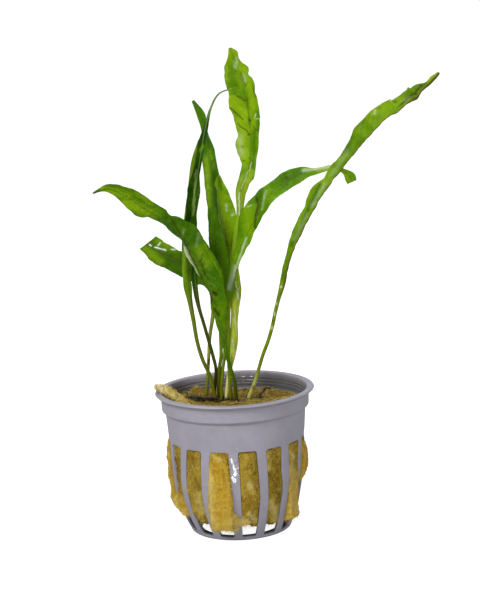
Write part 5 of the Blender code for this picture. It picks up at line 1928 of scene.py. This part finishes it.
LEFT_NARROW = Frond("left_narrow", (
    (-6.9, 3.6, 45.1, 0.65, 0, 0.65, 0), (-8.2, 2.4, 53.3, 0.66, 0, 0.67, 0),
    (-10.5, 1.4, 59.8, 0.66, 0, 0.66, 0), (-12, 1, 66.4, 0.66, 0, 0.66, 0),
    (-12.8, 1, 73.4, 0.72, 12, 0.73, 12), (-13.7, 1.8, 80.1, 0.95, 31, 1.05, 34),
    (-14.2, 2.8, 87.2, 2.35, 43, 2, 48), (-14.3, 3.8, 94, 2.35, 48, 1.85, 50),
    (-14.2, 4.8, 101, 1.9, 52, 1.5, 50), (-13.4, 5.7, 107.8, 1.75, 56, 1.55, 49),
    (-12.3, 6.5, 114.5, 1.5, 59, 1.45, 45), (-11.2, 7.3, 121.4, 0.95, 60, 1.25, 42),
    (-9.7, 8, 128, 0.9, 32, 0.7, 21), (-7.6, 8.4, 134.8, 0.3, 0, 0.3, 0),
), LeafFinish(light=paint(98, 130, 14), dark=paint(54, 86, 2), stem=paint(96, 108, 24)), spots_of(
    shade=((-13.4, 97.7, -12.3, 106.2, 1, 0.6),),
    light=((-15.7, 87.7, -14.8, 97.1, 0.6, 0.7),),
))
DARK = Frond("dark", (
    (-7.3, 6.1, 45.1, 0.65, 0, 0.65, 0), (-6.7, 4.8, 49.7, 0.57, 0, 0.57, 0),
    (-6.1, 3.7, 55.5, 0.57, 0, 0.57, 0), (-6.9, 2.7, 60.8, 0.6, 0, 0.6, 0),
    (-9.3, 1.2, 72, 0.6, -3, 0.6, -3), (-10.6, 0.4, 77.8, 0.65, -16, 0.65, -16),
    (-11.2, -0.2, 83.4, 1.25, -36, 0.75, -36), (-11.5, -0.7, 89.3, 1.75, -51, 1.25, -49),
    (-11.6, -1, 94.8, 1.45, -54, 1.95, -50), (-11.9, -1.1, 100.5, 2.25, -55, 2.8, -50),
    (-12, -1, 106.3, 3.3, -52, 3.2, -47), (-11.3, -0.8, 111.9, 3.5, -50, 3.1, -45),
    (-10.1, -0.4, 117.8, 3.6, -49, 2.4, -45), (-8.8, 0, 123.4, 2.9, -46, 1.4, -45),
    (-7.6, 0.5, 128.9, 1.95, -45, 1.1, -45), (-6.4, 1, 134.7, 1.8, -40, 1.3, -40),
    (-5, 1.5, 140.2, 0.55, -13, 0.95, -13), (-3.2, 1.8, 145.5, 0.4, 0, 0.4, 0),
    (-0.2, 1.8, 150.5, 0.28, 0, 0.28, 0), (4.6, 1.7, 152.3, 0.2, 0, 0.2, 0),
# Its pale midrib line is partly a painted highlight along the midrib.
), LeafFinish(light=paint(50, 86, 4), dark=paint(18, 50, 1), rib=paint(104, 136, 70),
    vein=paint(20, 44, 6), stem=paint(66, 72, 22), under=paint(60, 84, 30),
    pale=paint(150, 172, 90), rib_strength=0.6), spots_of(
    pale=((-9.1, 125.6, -10.9, 110.5, 0.35, 0.4), (-3, 146, 4.6, 152.3, 0.5, 0.5)),
    light=((-6.3, 133.5, -7.4, 132.2, 0.5, 0.5),),
    mark=((-6.2, 55.5, -6.3, 47, 0.9, 0.9),),
))
CUT = Frond("cut", (
    (-9.9, 8.2, 45.1, 0.65, 0, 0.65, 0), (-9.3, 9.5, 51, 0.55, 0, 0.56, 0),
    (-8.8, 10.3, 55, 0.55, 0, 0.56, 0), (-8.4, 11, 58.9, 0.58, 0, 0.56, 0), (-8, 11.7, 63, 0.59, 0, 0.59, 0),
    (-7.4, 12.3, 66.9, 0.59, 0, 0.62, 0), (-6.6, 12.9, 70.9, 0.67, 0, 0.75, 0),
    (-5.8, 13.5, 74.8, 0.79, 0, 0.92, 0), (-5.5, 14.2, 78.7, 1.07, 0, 1.14, 0),
    (-5.8, 14.7, 81.2, 1.5, 0, 1.26, 0), (-6.4, 15.2, 83.5, 2.3, 2, 1.52, 0),
    (-7.3, 15.6, 85.7, 4.36, 5, 1.78, 0), (-8.9, 16.1, 87.6, 4.99, 9, 2.53, 0),
    (-10.8, 16.5, 89.1, 5.47, 12, 3.36, 0), (-13.1, 17, 90.1, 5.74, 15, 4.19, -2),
    (-15.4, 17.6, 90.8, 5.51, 18, 4.32, -6), (-17.7, 18.2, 91.6, 4.69, 19, 4.28, -10),
    (-19.8, 18.9, 92.7, 4.45, 20, 4.35, -13), (-21.9, 19.5, 93.9, 4.63, 19, 4.32, -15),
    (-23.9, 20.1, 95.3, 4.86, 16, 4.11, -15), (-25.9, 20.7, 96.7, 3.8, 13, 4.3, -15),
    (-28, 21.2, 98, 3, 10, 4.3, -15),
# Its near-white pale colour paints glints of water, a painted highlight.
), LeafFinish(light=paint(82, 116, 4), dark=paint(42, 78, 1), stem=paint(134, 140, 56),
    pale=paint(236, 240, 232), wet=0.3), spots_of(
    light=((-24.1, 99.2, -18.2, 96.3, 1.4, 0.6), (-28.5, 95.9, -23.8, 91.6, 1.6, 0.6)),
    mark=((-24.3, 95.4, -16, 91.4, 0.3, 0.5), (-28.4, 98.1, -28, 97.9, 0.5, 0.8),
        (-8.4, 57.4, -8.5, 56.4, 0.6, 0.8)),
    wet=((-27, 97.6, -26.7, 97.4, 0.6, 1), (-25.3, 97.2, -21.5, 95.7, 0.7, 1),
        (-23.4, 98.5, -24.6, 97.2, 0.4, 1), (-19, 96, -17.5, 96.3, 0.5, 1),
        (-24.6, 90.5, -23.2, 90.5, 0.5, 1)),
    shade=((-21.7, 90.8, -17, 87.2, 1, 0.6),),
    pale=((-27, 97.7, -26.7, 97.4, 0.28, 0.9), (-25.3, 96.8, -21.5, 95.7, 0.22, 1),
        (-23.4, 98.5, -24.2, 97.2, 0.18), (-19.6, 95.9, -17.5, 96.3, 0.18)),
), quilt=0.16, slant=-1.6, step=0.28)
BACK = Frond("back", (
    (-5.5, 5.7, 45.1, 0.65, 0, 0.65, 0), (-5.3, 6.2, 53.3, 0.58, 0, 0.58, 0),
    (-4.1, 6.6, 59.4, 0.6, 0, 0.6, 0), (-3.9, 7.1, 65.5, 0.62, 4, 0.6, 4),
    (-3.5, 7.7, 71.3, 0.93, 10, 0.73, 10), (-3.2, 8.4, 77.4, 1.25, 14, 0.9, 14),
    (-3.1, 9.4, 83.4, 1.9, 17, 1.25, 17), (-3.3, 10.6, 89.4, 2.6, 20, 1.75, 20),
    (-3.4, 11.9, 95, 2.9, 20, 1.95, 20), (-3.5, 13.5, 101, 2.9, 22, 2.15, 20),
    (-3.6, 15.1, 106.9, 2.75, 25, 2.3, 21), (-3.6, 16.6, 112.5, 3.05, 25, 2.55, 24),
    (-3.7, 18.4, 118.5, 3.2, 25, 2.9, 27), (-4.1, 20, 124.1, 3.05, 25, 2.65, 31),
    (-4.7, 21.7, 130, 2.85, 24, 2.3, 34), (-5.6, 23.1, 136, 1.25, 20, 1.2, 30),
    (-6.6, 24.2, 141.6, 1.45, 12, 1.6, 21), (-9.2, 25.1, 147, 0.5, 0, 0.5, 0),
), LeafFinish(light=paint(76, 121, 2), dark=paint(42, 86, 1)), spots_of(
    light=((-5.7, 126.5, -5.5, 111.3, 1, 0.7), (-4.5, 129.8, -3.9, 127.1, 0.6, 0.6)),
    shade=((-2.8, 122.3, -3.1, 111.1, 1, 0.9), (-4.4, 105.5, -3, 87.4, 2.2, 0.6)),
    mark=((-5, 127.1, -3.7, 118.9, 0.16, 0.35),),
))
MIDDLE = Frond("middle", (
    (-3.8, 5.5, 45.1, 0.65, 0, 0.65, 0), (-5.3, 6.9, 50.2, 0.57, 0, 0.57, 0),
    (-3.8, 7.8, 54.8, 0.6, 0, 0.6, 0), (-2.7, 8.8, 59.7, 0.58, 0, 0.58, 0),
    (-1.6, 10.2, 69.3, 0.58, 0, 0.58, 0), (-0.9, 10.6, 74.1, 0.66, 0, 0.65, 0),
    (0, 10.9, 79.2, 0.8, 2, 0.75, -1), (0.9, 10.9, 84, 0.98, 16, 0.8, -11),
    (1.5, 10.6, 88.7, 1.2, 34, 0.87, -21), (0.8, 9.9, 93.6, 1.35, 55, 2, -28),
    (0.1, 9, 98.4, 2.6, 67, 2.9, -24), (-0.5, 8.2, 103.3, 3.4, 70, 4.1, -17),
    (-1.2, 7.6, 108.2, 3.9, 70, 5.05, -8), (-1.9, 7.1, 113, 3.15, 75, 4.4, -5),
    (-2, 6.4, 118, 2.3, 73, 3.15, -7), (-1.4, 5.8, 122.8, 0.3, 0, 0.3, 0),
), LeafFinish(light=paint(122, 160, 4), dark=paint(88, 132, 2), rib=paint(84, 66, 18),
    rib_strength=0.35), spots_of(
    light=((-0.1, 115.7, 1.2, 100.4, 1.6, 0.8),),
    shade=((-1.5, 121.7, -1, 117.5, 0.6, 0.7), (2.3, 102.5, 1.4, 97.9, 0.6, 0.5)),
    pale=((0.6, 112.2, 0.5, 110.4, 0.4, 0.5), (2.3, 108.6, 3, 108.9, 0.35, 0.6)),
    mark=((-2.3, 112.7, -1.3, 104.9, 0.22, 0.6), (-1.3, 104.9, 0, 97.6, 0.22, 0.6)),
    wet=((0.4, 111.5, 0.5, 111.2, 0.5, 1), (2.5, 108.2, 2.6, 107.9, 0.45, 1)),
))
SHORT = Frond("short", (
    (-4.7, 3.2, 45.1, 0.55, 0, 0.55, 0), (-4.3, 3.1, 50.3, 0.48, 0, 0.48, 0),
    (-2.8, 3, 61.5, 0.52, 0, 0.52, 0), (-2.3, 3.1, 67.1, 0.57, 0, 0.56, 0),
    (-1.9, 3.2, 72.7, 0.62, -1, 0.62, -1), (-1.8, 3.2, 78.3, 0.75, -8, 0.8, -8),
    (-2.1, 3.1, 84.1, 1.4, -16, 1.65, -16), (-2.7, 2.9, 89.6, 2.35, -22, 3.05, -22),
    (-2.9, 2.8, 95.2, 3.1, -25, 3.3, -26), (-3.1, 2.6, 100.9, 3.35, -25, 2.85, -29),
    (-3.2, 2.4, 106.5, 2.25, -20, 1.2, -24), (-3.4, 2.3, 112.1, 0.3, 0, 0.3, 0),
), LeafFinish(light=paint(80, 118, 2), dark=paint(46, 80, 1)), spots_of(
    shade=((-3.5, 103.7, -3.1, 92.2, 1.6, 0.5),),
))
FRONDS = (
    TALL, RIGHT, FAR_RIGHT, FRONT_LEFT, LEFT_NARROW, DARK, CUT, BACK, MIDDLE, SHORT,
)


# Studio


@dataclass
class Studio:
    """The pale floor, the soft lights and the camera at the photograph's angle.

    Attributes:
        eye: Where the camera is, from the pot's axis on the floor.
        yaw, pitch, roll: Its turns in radians.
        lens: Its focal length for its film.
        film: How wide the film is.
        floor_half: Half of the floor's side.
        floor_tones: The floor's two greys, as the plant's light sees it.
        sky: How strong the light from all round is.
        bounce: How much light the floor sends back.
        glow: How bright the floor looks from the camera.
        lamps: Each softbox's place, what it looks at, its side lengths and its power.
    """

    eye: tuple[float, float, float] = (0.0, -620.0, 197.3)
    yaw: float = 0.0056
    pitch: float = -0.1867
    roll: float = -0.0519
    lens: float = 110.62
    film: float = 36.0
    floor_half: float = 60000.0
    floor_tones: tuple[Colour, Colour] = ((0.38, 0.38, 0.38), (0.40, 0.40, 0.40))
    sky: float = 0.30
    bounce: float = 0.10
    glow: float = 0.95
    lamps: tuple[tuple[Row, Row, float, float, float], ...] = (
        ((-360.0, -440.0, 520.0), (0.0, 0.0, 80.0), 260.0, 260.0, 4.0),
        ((500.0, -300.0, 360.0), (0.0, 0.0, 80.0), 180.0, 300.0, 1.1),
        ((-60.0, 380.0, 620.0), (0.0, 0.0, 100.0), 320.0, 160.0, 2.2),
        ((-70.0, -640.0, 85.0), (0.0, 0.0, 60.0), 100.0, 130.0, 1.1),
    )

    def floor(self) -> None:
        """A wide pale floor that looks white from the camera and gives the plant a weaker light back."""
        half = self.floor_half * MM
        mesh = bpy.data.meshes.new("floor")
        corners = [(-half, -half, 0), (half, -half, 0), (half, half, 0), (-half, half, 0)]
        mesh.from_pydata(corners, [], [(0, 1, 2, 3)])
        material, tree, shader = new_material("pale_floor")
        seen = node(tree, "ShaderNodeLightPath").outputs["Is Camera Ray"]
        feed(shader, {
            "Base Color": blend(noise_at(object_place(tree), 6.0), *self.floor_tones),
            "Roughness": 0.9,
            "Specular IOR Level": 0.0,
            "Emission Color": (1.0, 1.0, 1.0, 1.0),
            "Emission Strength": plus(self.bounce, times(seen, self.glow - self.bounce)),
        })
        mesh.materials.append(material)
        floor = bpy.data.objects.new("floor", mesh)
        bpy.context.scene.collection.objects.link(floor)

    def lamp(self, number: int, place: Sequence[float], target: Sequence[float], wide: float, tall: float,
             power: float) -> None:
        """One softbox that looks at the plant.

        Args:
            number: Its number, for its name.
            place: Where it stands, from the pot's axis.
            target: What it looks at.
            wide: Its width.
            tall: Its height.
            power: Its power in watts.
        """
        light = bpy.data.lights.new(f"softbox_{number}", "AREA")
        light.shape = "RECTANGLE"
        light.size, light.size_y, light.energy = wide * MM, tall * MM, power
        item = bpy.data.objects.new(light.name, light)
        back = unit(np.array(place) - np.array(target))
        right = unit(np.cross([0.0, 0.0, 1.0], back))
        item.matrix_world = self.matrix(right, np.cross(back, right), back, place)
        bpy.context.scene.collection.objects.link(item)

    def matrix(self, right: Array, up: Array, back: Array, place: Sequence[float]) -> Matrix:
        """An object's matrix from its three directions and its place from the pot's axis.

        Args:
            right: The way that its x axis points.
            up: The way that its y axis points.
            back: The way that its z axis points.
            place: Where it stands.

        Returns:
            The matrix, in metres in the frame.
        """
        whole = np.eye(4)
        whole[:3, 0], whole[:3, 1], whole[:3, 2] = right, up, back
        whole[:3, 3] = (np.array(place) + [AXIS_X, 0.0, 0.0]) * MM
        return Matrix(whole.tolist())

    def camera(self) -> None:
        """The camera: forward from yaw and pitch, then rolled about that line."""
        level = np.cos(self.pitch)
        forward = np.array([np.sin(self.yaw) * level, np.cos(self.yaw) * level, np.sin(self.pitch)])
        side = np.array([np.cos(self.yaw), -np.sin(self.yaw), 0.0])
        up = np.cross(side, forward)
        right = side * np.cos(self.roll) + up * np.sin(self.roll)
        top = up * np.cos(self.roll) - side * np.sin(self.roll)
        data = bpy.data.cameras.new("camera")
        data.lens, data.sensor_width = self.lens, self.film
        data.clip_start, data.clip_end = 0.02, 300.0
        item = bpy.data.objects.new("camera", data)
        item.matrix_world = self.matrix(right, top, -forward, self.eye)
        bpy.context.scene.collection.objects.link(item)
        bpy.context.scene.camera = item

    def build(self) -> None:
        """Floor, plain white surroundings, lamps and camera."""
        self.floor()
        world = bpy.context.scene.world or bpy.data.worlds.new("studio")
        bpy.context.scene.world = world
        world.use_nodes = True
        sky = world.node_tree.nodes["Background"]
        sky.inputs["Color"].default_value = (1.0, 1.0, 1.0, 1.0)
        sky.inputs["Strength"].default_value = self.sky
        for number, lamp in enumerate(self.lamps, 1):
            self.lamp(number, *lamp)
        bpy.context.scene.view_settings.view_transform = "Standard"
        self.camera()


def main() -> None:
    """Builds the plant from the pot up, then the studio round it."""
    logging.basicConfig(level=logging.INFO, format="%(message)s")
    pot = NetPot()
    pot.build()
    WoolPlug(pot).build()
    for stock in STOCKS:
        stock.build()
    RootHairs().build()
    for frond in FRONDS:
        frond.build()
    Studio().build()
    bpy.context.view_layer.update()


if __name__ == "__main__":
    main()
